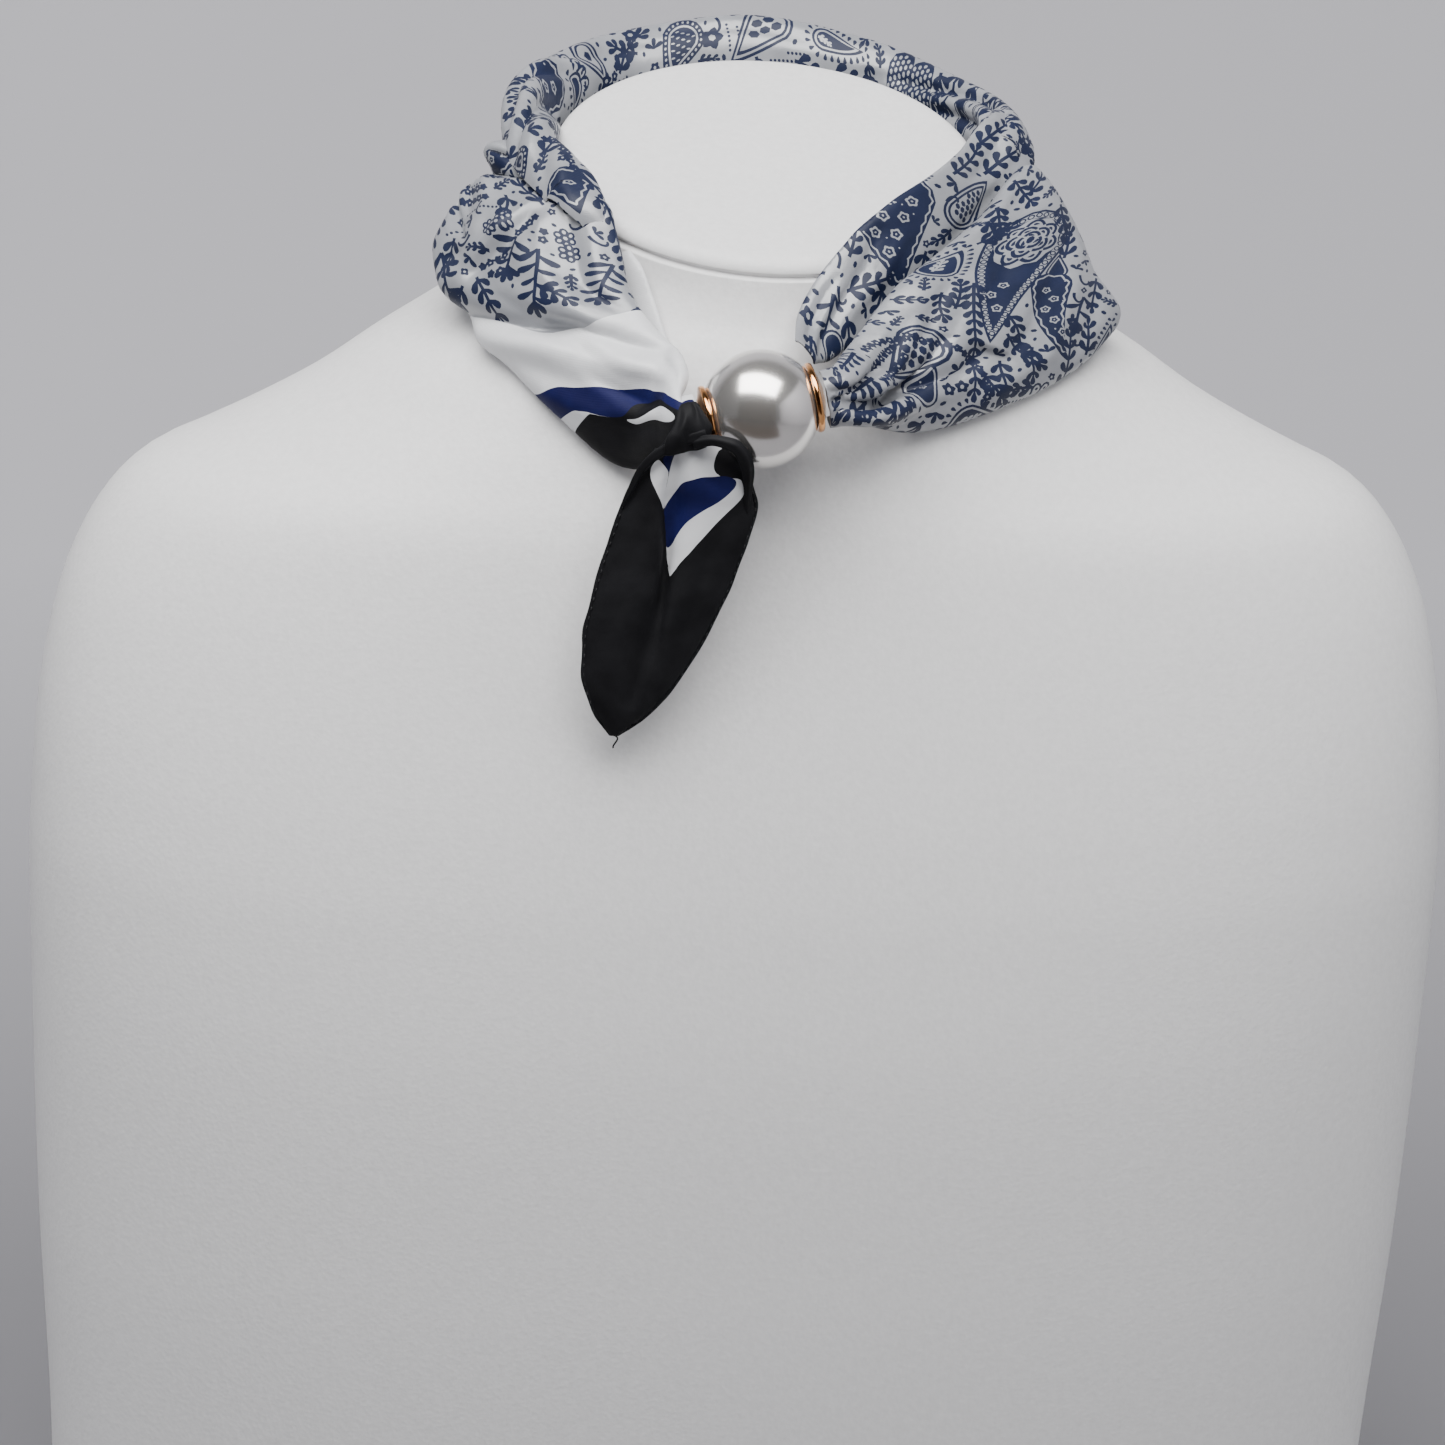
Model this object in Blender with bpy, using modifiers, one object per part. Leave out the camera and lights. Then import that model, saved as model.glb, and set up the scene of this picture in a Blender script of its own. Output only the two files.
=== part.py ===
"""Neck scarf with a magnetic pearl clasp, worn on a limbless display bust.

Metres, +Z up. The bust stands on z = 0 and faces -Y. Tables are in millimetres.
"""

import math
from collections import namedtuple

import bmesh
import bpy
import numpy as np
from mathutils import Vector
from mathutils.bvhtree import BVHTree

MM = 0.001
OBJECT_NAME = "magnetic_neck_scarf"

# The whole object is moved back by this much, so that the origin is under its middle.
CENTRING_Y = 15.2

# Cloth: a folded polyester square, its layers lying close together.
CLOTH_WALL = 1.3
SEAM_GAP = 0.35
BUST_CLEARANCE = 0.8
ROLL_CLEARANCE = 1.5

# Clasp: one pearl, one turned cap on each side of it, all on one tilted axis.
PEARL_RADIUS = 15.0
PEARL_CENTRE = Vector((-7.5, -84.0, 380.0))
CLASP_RISE_DEGREES = 12.7
CLASP_TURN_DEGREES = 4.0
CAP_START = 12.9
CAP_BEAD_RADIUS = 8.95
CAP_BEAD_WIDTH = 1.7
CAP_BEAD_HEIGHT = 0.6
CAP_WALL = 1.0
# Where the gathered cloth runs along the clasp axis, and how high, tall and deep it is there.
CLOTH_ENDS = (19.5, 16.3)
LEFT_BUNDLE = (0.6, 6.6, 5.4)
RIGHT_BUNDLE = (-0.9, 7.0, 5.5)

# Bust: one row for each level, bottom to top. Tilt is how far a ring rises from front to back.
BustRow = namedtuple("BustRow", "height half_width front back squareness tilt")
BUST_ROWS = (
    BustRow(0, 181, -76, 62, 2.5, 0.0),
    BustRow(70, 183, -85, 66, 2.5, 0.0),
    BustRow(140, 187, -91, 69, 2.5, 0.0),
    BustRow(200, 189, -93, 70, 2.5, 0.0),
    BustRow(240, 190, -91, 70, 2.5, 0.0),
    BustRow(264, 189, -89, 69, 2.45, 0.0),
    BustRow(280, 188, -86, 68, 2.4, 0.0),
    BustRow(296, 186, -84, 67, 2.35, 0.0),
    BustRow(312, 182, -81, 66, 2.3, 0.0),
    BustRow(326, 176, -78, 64, 2.25, 0.0),
    BustRow(337, 169, -76, 62, 2.2, 0.0),
    BustRow(345, 160, -74, 60, 2.1, 0.0),
    BustRow(351, 148, -72, 59, 2.0, 0.0),
    BustRow(358, 134, -70, 58, 1.95, 0.0),
    BustRow(367, 118, -68, 57, 1.9, 0.0),
    BustRow(378, 102, -65, 56, 1.9, 0.02),
    BustRow(390, 81, -60, 55, 1.95, 0.06),
    BustRow(402, 64, -56, 54, 2.0, 0.14),
    BustRow(414, 57, -54, 52, 2.0, 0.24),
    BustRow(424, 56, -53, 50, 2.0, 0.31),
)
BUST_LEVELS = 26
BUST_SIDES = 52
BUST_RIM_ROUND = 2.5

# Cloth sections: the two edges of each section, how far the cloth stands above the line
# between them and how far its folded underside lies below that line.
# The wall runs round that loop from one angle to the other, 0 degrees at the first edge,
# 90 on top, 180 at the second edge and 270 underneath.
Section = namedtuple("Section", "ax ay az bx by bz over under start end", defaults=(-20, 215))
Fold = namedtuple("Fold", "start end across_start across_end height width")


def mm(*values):
    """A vector in metres from millimetres."""
    return Vector(values) * MM


def hermite(places, values, wanted):
    """A smooth curve through the values that never overshoots between two of them."""
    places = np.asarray(places, float)
    values = np.asarray(values, float)
    steps = np.diff(places)
    slopes = np.diff(values) / steps
    tangents = np.zeros(len(values))
    tangents[0] = slopes[0]
    tangents[-1] = slopes[-1]
    for index in range(1, len(slopes)):
        before = slopes[index - 1]
        after = slopes[index]
        if before * after > 0:
            tangents[index] = 2 * before * after / (before + after)
    spot = np.clip(np.searchsorted(places, wanted, side="right") - 1, 0, len(steps) - 1)
    step = steps[spot]
    t = (wanted - places[spot]) / step
    return (
        (2 * t**3 - 3 * t**2 + 1) * values[spot]
        + (t**3 - 2 * t**2 + t) * step * tangents[spot]
        + (3 * t**2 - 2 * t**3) * values[spot + 1]
        + (t**3 - t**2) * step * tangents[spot + 1]
    )


def section_curve(sections, rows):
    """Rows of values on smooth curves through the sections, closest where those are closest."""
    values = np.asarray(sections, float)
    middles = values[:, :3] if values.shape[1] < 6 else (values[:, 0:3] + values[:, 3:6]) / 2
    steps = np.maximum(np.linalg.norm(np.diff(middles, axis=0), axis=1), 1.0)
    places = np.concatenate(([0.0], np.cumsum(steps)))
    spots = np.linspace(0, len(values) - 1, rows)
    wanted = np.interp(spots, np.arange(len(values)), places)
    columns = [hermite(places, column, wanted) for column in values.T]
    return np.stack(columns, axis=1), spots


def material(name, colour, roughness, metallic=0.0):
    """A Principled material of one plain colour."""
    made = bpy.data.materials.new(name)
    made.use_nodes = True
    shader = made.node_tree.nodes["Principled BSDF"]
    shader.inputs["Base Color"].default_value = (*colour, 1.0)
    shader.inputs["Roughness"].default_value = roughness
    shader.inputs["Metallic"].default_value = metallic
    return made


def add_object(name, mesh, surface, group):
    """Links a mesh as a named object of the part, with its material."""
    mesh.materials.append(surface)
    mesh.shade_smooth()
    mesh.set_sharp_from_angle(angle=math.radians(40))
    made = bpy.data.objects.new(name, mesh)
    group.objects.link(made)
    return made


def grid_mesh(name, grid, closed_round=False, capped=False):
    """A mesh of quads over a grid of points, with its first and last rows filled if asked."""
    rows, columns = grid.shape[:2]
    mesh = bpy.data.meshes.new(name)
    faces = []
    for row in range(rows - 1):
        for column in range(columns if closed_round else columns - 1):
            after = (column + 1) % columns
            here = row * columns
            above = here + columns
            faces.append((here + column, here + after, above + after, above + column))
    if capped:
        faces.append(tuple(range(columns))[::-1])
        faces.append(tuple(range((rows - 1) * columns, rows * columns)))
    mesh.from_pydata(grid.reshape(-1, 3).tolist(), [], faces)
    mesh.update()
    return mesh


def superellipse(angle, squareness):
    """Across and along parts of a rounded-square ring at an angle."""
    power = 2 / squareness
    cosine = math.cos(angle)
    sine = math.sin(angle)
    return (
        math.copysign(abs(cosine) ** power, cosine),
        math.copysign(abs(sine) ** power, sine),
    )


def bust_ring(row, inset=0.0):
    """The points round the bust at one level, in millimetres."""
    middle = (row.front + row.back) / 2
    half_depth = (row.back - row.front) / 2 - inset
    points = []
    for side in range(BUST_SIDES):
        across, along = superellipse(2 * math.pi * side / BUST_SIDES, row.squareness)
        y = half_depth * along
        points.append(((row.half_width - inset) * across, middle + y, row.height + row.tilt * y))
    return points


def make_bust(group, leatherette):
    """The display bust: smooth levels from its flat base to the slanted top of its neck."""
    heights = [row.height for row in BUST_ROWS]
    columns = list(zip(*BUST_ROWS))
    total = heights[-1]
    levels = total * (1 - (1 - np.linspace(0, 1, BUST_LEVELS)) ** 1.75)
    rings = []
    for level in levels:
        values = [float(hermite(heights, column, np.array(level))) for column in columns[1:]]
        rings.append(bust_ring(BustRow(level, *values)))
    for turn in (30, 60, 90):
        inset = BUST_RIM_ROUND * (1 - math.cos(math.radians(turn)))
        rise = BUST_RIM_ROUND * math.sin(math.radians(turn))
        top = BUST_ROWS[-1]._replace(height=total + rise)
        rings.append(bust_ring(top, inset))
    grid = np.array(rings) * MM
    grid[..., 1] += CENTRING_Y * MM
    mesh = grid_mesh("display_bust", grid, closed_round=True, capped=True)
    return add_object("display_bust", mesh, leatherette, group)


def bust_tree(bust):
    """A search tree of the bust's faces, for laying cloth on them."""
    shape = bmesh.new()
    shape.from_mesh(bust.data)
    tree = BVHTree.FromBMesh(shape)
    shape.free()
    return tree


def lay_on(tree, grid, clearance):
    """Moves each point that is nearer to the bust than the clearance out to it."""
    laid = grid.copy()
    for index in np.ndindex(grid.shape[:2]):
        point = Vector(grid[index])
        spot, normal, _, _ = tree.find_nearest(point)
        height = (point - spot).dot(normal)
        if height < clearance:
            laid[index] = spot + normal * clearance
    return laid


def clasp_axis():
    """The direction of the clasp, from its left cap to its right one."""
    rise = math.radians(CLASP_RISE_DEGREES)
    turn = math.radians(CLASP_TURN_DEGREES)
    return Vector((math.cos(rise) * math.cos(turn), math.cos(rise) * math.sin(turn), math.sin(rise)))


def on_clasp(along, up=0.0, out=0.0):
    """A point in millimetres placed from the pearl's centre: along, above and before the axis."""
    axis = clasp_axis()
    side = axis.cross(Vector((0, 0, 1))).normalized()
    above = side.cross(axis)
    return PEARL_CENTRE + axis * along + above * up + side * out


def bundle_section(along, up, half_height, half_depth):
    """The section of a cloth bundle where it meets a cap."""
    top = on_clasp(along, up + half_height)
    bottom = on_clasp(along, up - half_height)
    return Section(*top, *bottom, half_depth, half_depth)


def fold_height(folds, along, across):
    """How far the named folds raise the cloth at one place."""
    total = 0.0
    for fold in folds:
        span = (along - fold.start) / (fold.end - fold.start)
        if not 0 <= span <= 1:
            continue
        middle = fold.across_start + (fold.across_end - fold.across_start) * span
        fade = math.sin(math.pi * min(1.0, 0.12 + 0.88 * span)) ** 0.7
        total += fold.height * fade * math.exp(-(((across - middle) / fold.width) ** 2))
    return total


def cloth_grid(sections, folds, rows, columns, end_direction=None):
    """Points of a folded length of cloth, in millimetres.

    Each section is a flattened loop through its two edges, open where the wall doesn't run.
    The last stretch runs along end_direction where that is given.
    """
    places = np.linspace(0, 1, rows)
    values, spots = section_curve(sections, rows)
    first = values[:, 0:3]
    second = values[:, 3:6]
    middle = (first + second) / 2
    path = np.gradient(middle, axis=0)
    path /= np.linalg.norm(path, axis=1, keepdims=True)
    if end_direction is not None:
        share = np.clip(spots - (len(sections) - 3), 0, 1)[:, None]
        path = path * (1 - share) + np.array(end_direction) * share
    normals = np.cross(second - first, path)
    normals /= np.linalg.norm(normals, axis=1, keepdims=True)
    outward = middle * (1, 1, 0)
    flip = np.sign((normals * (outward + (0, 0, 12))).sum(axis=1))
    normals *= flip[:, None]
    grid = np.empty((rows, columns, 3))
    for row, place in enumerate(places):
        half = (second[row] - first[row]) / 2
        over, under = values[row, 6:8]
        start, end = np.radians(values[row, 8:10])
        for column in range(columns):
            angle = start + (end - start) * column / (columns - 1)
            across = -math.cos(angle)
            height = math.sin(angle) * (over if math.sin(angle) > 0 else under)
            if math.sin(angle) > 0:
                lift = fold_height(folds, place, (across + 1) / 2)
                height += lift * math.sin(angle) ** 0.5
            grid[row, column] = middle[row] + half * across + normals[row] * height
    return grid


def make_cloth(name, grid, surface, group, tree, clearance=BUST_CLEARANCE):
    """Lays a cloth grid on the bust and gives it its wall."""
    placed = grid * MM
    placed[..., 1] += CENTRING_Y * MM
    placed = lay_on(tree, placed, (clearance + CLOTH_WALL / 2) * MM)
    made = add_object(name, grid_mesh(name, placed), surface, group)
    wall = made.modifiers.new("cloth_wall", "SOLIDIFY")
    wall.thickness = CLOTH_WALL * MM
    wall.offset = 0.0
    return made


def make_pearl(group, surface):
    """The pearl of the clasp."""
    shape = bmesh.new()
    bmesh.ops.create_uvsphere(shape, u_segments=28, v_segments=16, radius=PEARL_RADIUS * MM)
    mesh = bpy.data.meshes.new("clasp_pearl")
    shape.to_mesh(mesh)
    shape.free()
    made = add_object("clasp_pearl", mesh, surface, group)
    made.location = PEARL_CENTRE * MM + mm(0, CENTRING_Y, 0)
    made.rotation_euler = clasp_axis().to_track_quat("Z", "Y").to_euler()
    return made


def cap_profile():
    """The turned outline of a cap as pairs of radius and distance from the pearl's centre."""
    seat = PEARL_RADIUS + SEAM_GAP
    back = seat + CAP_WALL
    outline = [(radius, math.sqrt(back**2 - radius**2)) for radius in (0, 2, 4, 6, 7.6)]
    bead_middle = CAP_START + CAP_BEAD_WIDTH / 2
    for turn in range(90, -91, -30):
        angle = math.radians(turn)
        radius = CAP_BEAD_RADIUS - CAP_BEAD_HEIGHT * (1 - math.cos(angle))
        outline.append((radius, bead_middle + CAP_BEAD_WIDTH / 2 * math.sin(angle)))
    outline += [(radius, math.sqrt(seat**2 - radius**2)) for radius in (7.9, 6.4, 4.8, 3.2, 1.6, 0)]
    return outline


def make_cap(name, direction, group, surface):
    """One turned ring cap, seated on its side of the pearl."""
    mesh = bpy.data.meshes.new(name)
    points = [(radius * MM, 0.0, along * MM) for radius, along in cap_profile()]
    mesh.from_pydata(points, [(i, i + 1) for i in range(len(points) - 1)], [])
    made = add_object(name, mesh, surface, group)
    turned = made.modifiers.new("turned", "SCREW")
    turned.steps = 20
    turned.render_steps = 20
    turned.use_merge_vertices = True
    turned.merge_threshold = 0.00005
    made.location = PEARL_CENTRE * MM + mm(0, CENTRING_Y, 0)
    made.rotation_euler = (clasp_axis() * direction).to_track_quat("Z", "Y").to_euler()
    return made


BACK_ROLL = (
    Section(-52, -28.5, 409, -48, -32, 426, 10.8, 5.0, 99, 190),
    Section(-58, -19, 411, -54, -22, 430.5, 9.3, 5.5, 97, 215),
    Section(-60.5, -5, 414, -62, -5, 436, 7.6, 6.2, 100, 290),
    Section(-61, 11, 416, -63, 13, 441, 6.7, 6.7, 62, 325),
    Section(-52, 36, 417, -53, 38, 444, 6.5, 6.7, 20, 335),
    Section(-31, 55, 418, -32, 57, 447.5, 7.0, 7.0, 20, 335),
    Section(0, 60, 419, 0, 63, 451, 7.4, 7.4, 20, 335),
    Section(31, 55, 417, 32, 57, 446.5, 7.0, 7.0, 20, 335),
    Section(52, 36, 416, 53, 38, 441, 6.5, 6.7, 20, 335),
    Section(61, 17, 416, 63, 18, 438.5, 6.4, 6.7, 50, 315),
    Section(60.5, 5, 416, 65, 6, 437, 6.4, 6.2, 98, 225),
    Section(58, -3, 416, 62, -2, 433.5, 6.0, 5.0, 122, 200),
)

LEFT_PANEL = (
    Section(-59, -4, 414, -66, 3, 419, 1.5, 2.5),
    Section(-56.5, -13, 414, -70, -1, 423, 1.5, 3.0),
    Section(-54, -21, 414.5, -74.5, -3, 424, 2.0, 3.5),
    Section(-51, -27.5, 416, -71.5, -5, 420, 2.2, 4.0),
    Section(-48, -32, 417.5, -78.5, -6, 418, 2.6, 5.0),
    Section(-44.5, -38, 419.5, -83.5, -10, 410, 5.0, 6.0),
    Section(-42.5, -43, 415, -87, -16, 402.5, 7.0, 7.0),
    Section(-41, -49, 409, -86, -24, 396, 7.0, 7.0),
    Section(-40, -54, 404, -80, -33, 390, 7.0, 7.0),
    Section(-37, -60, 399, -70, -46, 381.5, 6.5, 7.0),
    Section(-32, -66, 394, -57, -60, 371.5, 6.0, 7.0),
    Section(-27.5, -74, 391, -41, -71, 366.5, 5.5, 6.0),
)

LEFT_UNDER = (
    Section(-38.5, -41, 409.5, -46, -37, 406, 0.6, 0.6, 0, 180),
    Section(-35.7, -45, 406.5, -45, -41, 400, 0.8, 0.8, 0, 180),
    Section(-32.8, -49.5, 399.5, -43, -46, 392, 0.8, 0.8, 0, 180),
    Section(-28.8, -57, 389, -39, -53, 384, 0.8, 0.8, 0, 180),
)

RIGHT_FAN = (
    Section(63.5, 4, 419, 65.5, 4, 422, 1.2, 1.5, -5),
    Section(64.5, -3, 422, 68.5, 1.5, 426, 1.5, 2.0, -5),
    Section(62.5, -11, 423.5, 73, -1, 422.5, 2.5, 3.0, -5),
    Section(54, -27, 418, 81, -8, 410, 5.5, 5.0, -5),
    Section(45, -40, 414, 86, -15, 399, 6.5, 6.0, -5),
    Section(37, -49, 410, 92, -22, 391, 7.0, 6.5, -5),
    Section(30, -57, 407, 86, -33, 385.5, 7.0, 7.0, -5),
    Section(24, -63, 402, 75, -45, 380, 6.5, 7.0, -5),
    Section(19, -69, 397, 60, -56, 375.5, 6.0, 7.0, -5),
    Section(14, -75, 392.5, 36, -67, 370.5, 5.5, 7.0, -5),
)

RIGHT_INNER = (
    Section(56.5, 7, 432, 64.5, 5, 429, 1.0, 1.0, 0, 180),
    Section(54, 0, 431.5, 62.5, -2, 425, 1.2, 1.0, 0, 180),
    Section(50, -9, 431, 59.5, -10, 419, 1.5, 1.0, 0, 180),
    Section(44, -23, 430, 57, -17, 413, 2.0, 1.0, 0, 180),
    Section(37.5, -33, 428, 54.5, -23, 408, 2.5, 1.0, 0, 180),
    Section(29.5, -41, 425, 49.5, -31, 402, 2.5, 1.0, 0, 180),
    Section(23.5, -46, 421.5, 43, -38.5, 398.5, 2.5, 1.0, 0, 180),
    Section(18.5, -49.5, 418, 36, -46, 396, 2.5, 1.0, 0, 180),
    Section(15, -52, 414.5, 29, -51.5, 394.5, 2.5, 1.0, 0, 180),
    Section(10, -55, 409, 22, -57, 392, 2.5, 1.0, 0, 180),
    Section(5.5, -60, 403.5, 15.5, -63, 390.5, 2.0, 1.0, 0, 180),
    Section(2.5, -66, 398.5, 10.5, -69, 389, 1.5, 1.0, 0, 180),
    Section(1.5, -74, 395, 6, -76.5, 390, 1.2, 1.0, 0, 180),
)

FAN_FOLDS = (
    Fold(0.66, 1.0, 0.58, 0.5, -3.6, 0.09),
    Fold(0.74, 1.0, 0.34, 0.3, -1.6, 0.08),
    Fold(0.2, 0.8, 0.2, 0.4, -1.2, 0.12),
)

PANEL_FOLDS = (
    Fold(0.28, 0.7, 0.62, 0.3, 1.6, 0.1),
    Fold(0.45, 0.9, 0.85, 0.15, -1.4, 0.1),
)

TAIL = (
    Section(-31, -90.3, 369, -18, -92, 368, 1.2, 1.0, 0, 180),
    Section(-36.5, -89.5, 365, -10.5, -91.5, 362, 2.4, 1.0, 0, 180),
    Section(-41, -89, 357.2, -8.5, -90.5, 356, 3.0, 1.0, 0, 180),
    Section(-43.5, -89.5, 349.2, -10.5, -91, 348, 3.0, 1.0, 0, 180),
    Section(-46, -90, 340.9, -13, -91.5, 339.8, 3.0, 1.0, 0, 180),
    Section(-48.5, -91, 330.3, -16, -92, 331.8, 3.0, 1.0, 0, 180),
    Section(-50, -91.5, 321.8, -21, -92, 320.7, 3.0, 1.0, 0, 180),
    Section(-50, -92, 313.3, -26.5, -92.5, 311.2, 2.5, 1.0, 0, 180),
    Section(-47.5, -92.5, 304.3, -33, -92.5, 302.8, 2.0, 0.8, 0, 180),
    Section(-42.8, -92.5, 296.5, -40.6, -92.5, 296.5, 0.6, 0.5, 0, 180),
)

TAIL_FOLDS = (
    Fold(0.02, 0.9, 0.3, 0.62, -3.2, 0.08),
)

# The knot: a turn of cloth over the bundle beside the left cap, and the hem that leaves it
# on both sides of the tail.
KNOT_TURN = (64, -40)
KNOT_PLACE = -20.6
KNOT_WIDTH = 10.5
KNOT_THICKNESS = 2.6
KNOT_RADIUS = 9.6
Strap = namedtuple("Strap", "x y z radius")
LEFT_STRAP = (
    Strap(-26, -94.6, 374, 2.0),
    Strap(-30, -94.4, 372, 1.9),
    Strap(-34.5, -93.8, 369, 1.8),
    Strap(-38.5, -92.6, 364, 1.6),
    Strap(-41, -91.5, 358, 1.1),
)
RIGHT_STRAP = (
    Strap(-26, -94.6, 374, 2.0),
    Strap(-20, -97.4, 375.2, 2.0),
    Strap(-15, -99.2, 374.8, 2.1),
    Strap(-11, -98, 370.5, 2.2),
    Strap(-8.4, -94, 363, 2.0),
    Strap(-8.2, -92.8, 355.5, 1.1),
)
STRAP_FLATNESS = 0.65
STRAP_STEPS = 14


def tube_grid(path, radii, sides=10):
    """Points of a flattened tube round a path, in millimetres."""
    path = np.asarray(path, float)
    ahead = np.gradient(path, axis=0)
    ahead /= np.linalg.norm(ahead, axis=1, keepdims=True)
    front = np.array((0.0, -1.0, 0.0))
    grid = np.empty((len(path), sides, 3))
    for row, centre in enumerate(path):
        across = np.cross(ahead[row], front)
        across /= np.linalg.norm(across)
        out = np.cross(across, ahead[row])
        for side in range(sides):
            angle = 2 * math.pi * side / sides
            flat = math.sin(angle) * STRAP_FLATNESS
            grid[row, side] = centre + radii[row] * (across * math.cos(angle) + out * flat)
    return grid


def knot_grid(steps=12, sides=12):
    """Points of the turn of cloth that lies over the bundle, in millimetres."""
    grid = np.empty((steps, sides, 3))
    for step in range(steps):
        share = step / (steps - 1)
        turn = math.radians(KNOT_TURN[0] + (KNOT_TURN[1] - KNOT_TURN[0]) * share)
        swell = math.sin(math.pi * (0.12 + 0.76 * share))
        for side in range(sides):
            across, rise = superellipse(2 * math.pi * side / sides, 2.6)
            radius = KNOT_RADIUS + KNOT_THICKNESS / 2 * rise * swell
            along = KNOT_PLACE + KNOT_WIDTH / 2 * across * (0.55 + 0.45 * swell)
            grid[step, side] = on_clasp(along, radius * math.sin(turn), radius * math.cos(turn))
    return grid


def closed_object(name, grid, surface, group):
    """A closed body lofted over a grid of points in millimetres, with its faces outwards."""
    placed = grid * MM
    placed[..., 1] += CENTRING_Y * MM
    mesh = grid_mesh(name, placed, closed_round=True, capped=True)
    shape = bmesh.new()
    shape.from_mesh(mesh)
    bmesh.ops.recalc_face_normals(shape, faces=shape.faces)
    shape.to_mesh(mesh)
    shape.free()
    return add_object(name, mesh, surface, group)


def make_knot(group, cutters, surface):
    """The knot and its two hem straps, joined into one body."""
    knot = closed_object("scarf_knot", knot_grid(), surface, group)
    for name, straps in (("left_strap", LEFT_STRAP), ("right_strap", RIGHT_STRAP)):
        values, _ = section_curve(straps, STRAP_STEPS)
        strap = closed_object(name, tube_grid(values[:, :3], values[:, 3]), surface, cutters)
        strap.hide_render = True
        strap.display_type = "WIRE"
        join = knot.modifiers.new(name, "BOOLEAN")
        join.operation = "UNION"
        join.object = strap
    return knot


def main():
    for old in list(bpy.data.objects):
        bpy.data.objects.remove(old, do_unlink=True)
    group = bpy.data.collections.new(OBJECT_NAME)
    bpy.context.scene.collection.children.link(group)
    cutters = bpy.data.collections.new("cutters")
    bpy.context.scene.collection.children.link(cutters)

    leatherette = material("leatherette", (0.72, 0.71, 0.71), 0.55)
    printed = material("printed_cloth", (0.62, 0.62, 0.66), 0.6)
    white = material("white_cloth", (0.8, 0.8, 0.8), 0.6)
    black = material("black_cloth", (0.02, 0.02, 0.025), 0.55)
    pearl = material("pearl", (0.75, 0.73, 0.7), 0.12)
    rose_gold = material("rose_gold", (0.85, 0.52, 0.36), 0.18, 1.0)

    bust = make_bust(group, leatherette)
    tree = bust_tree(bust)
    make_pearl(group, pearl)
    make_cap("clasp_ring_right", 1.0, group, rose_gold)
    make_cap("clasp_ring_left", -1.0, group, rose_gold)

    axis = clasp_axis()
    left_end = tuple(bundle_section(-along, *LEFT_BUNDLE) for along in CLOTH_ENDS)
    right_end = tuple(bundle_section(along, *RIGHT_BUNDLE) for along in CLOTH_ENDS)
    roll = cloth_grid(BACK_ROLL, (), 34, 15)
    make_cloth("scarf_back_roll", roll, printed, group, tree, ROLL_CLEARANCE)
    grids = {
        "scarf_left_panel": (cloth_grid(LEFT_PANEL + left_end, PANEL_FOLDS, 28, 18, axis), printed),
        "scarf_left_under_layer": (cloth_grid(LEFT_UNDER, (), 10, 6), white),
        "scarf_right_fan": (cloth_grid(RIGHT_FAN + right_end, FAN_FOLDS, 28, 22, -axis), printed),
        "scarf_right_inner_layer": (cloth_grid(RIGHT_INNER, (), 24, 9), printed),
        "scarf_tail": (cloth_grid(TAIL, TAIL_FOLDS, 19, 13), black),
    }
    for name, (grid, surface) in grids.items():
        make_cloth(name, grid, surface, group, tree)
    make_knot(group, cutters, black)


main()
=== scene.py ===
"""Looks of the magnetic neck scarf: printed cloth, knot, pearl clasp, bust, light and camera."""

import logging
import math
from dataclasses import dataclass, field
from enum import Enum
from typing import NamedTuple, Optional, Sequence

import bmesh
import bpy
import numpy as np
from mathutils import Matrix, Vector
from mathutils.bvhtree import BVHTree
from mathutils.geometry import delaunay_2d_cdt


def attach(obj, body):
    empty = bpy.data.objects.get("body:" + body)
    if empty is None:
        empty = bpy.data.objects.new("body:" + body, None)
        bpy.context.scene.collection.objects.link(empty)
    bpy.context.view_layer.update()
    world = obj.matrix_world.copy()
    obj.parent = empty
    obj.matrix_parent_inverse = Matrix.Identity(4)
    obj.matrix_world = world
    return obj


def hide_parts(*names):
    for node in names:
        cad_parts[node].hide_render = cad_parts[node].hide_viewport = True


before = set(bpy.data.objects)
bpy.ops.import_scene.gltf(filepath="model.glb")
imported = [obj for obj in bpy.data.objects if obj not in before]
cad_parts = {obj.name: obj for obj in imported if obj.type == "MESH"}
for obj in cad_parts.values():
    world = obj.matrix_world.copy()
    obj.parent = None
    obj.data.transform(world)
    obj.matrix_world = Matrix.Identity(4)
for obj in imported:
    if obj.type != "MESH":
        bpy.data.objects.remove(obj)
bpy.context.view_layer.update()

MM = 0.001
UV_SPAN = 100.0
CENTRING_Y = 15.2
PEARL_CENTRE = Vector((-7.5, -84.0, 380.0))
log = logging.getLogger("scarf")


class Ink(Enum):
    """Colours of the printed cloth, in the order of its material slots."""

    GROUND = 0
    NAVY = 1
    ROYAL = 2
    BLACK = 3
    WHITE = 4


# ---- Curves and tables ----


class Section(NamedTuple):
    """One section of a folded stretch: its two edges in millimetres and the loop between them.

    The wall runs round the loop from start to end degrees: 0 at the first edge, 90 on top,
    180 at the second edge, 270 underneath.
    """

    ax: float
    ay: float
    az: float
    bx: float
    by: float
    bz: float
    over: float
    under: float
    start: float = -20
    end: float = 215


def sections(*rows: tuple, ends: tuple = ()) -> tuple[Section, ...]:
    """Sections from rows of their sizes; ends are the last sizes, where all rows share them."""
    return tuple(Section(*row, *ends) for row in rows)


class Fold(NamedTuple):
    """A soft trough or ridge that runs over the cloth, in parts of its length and width."""

    start: float
    end: float
    across_start: float
    across_end: float
    height: float
    width: float


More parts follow.
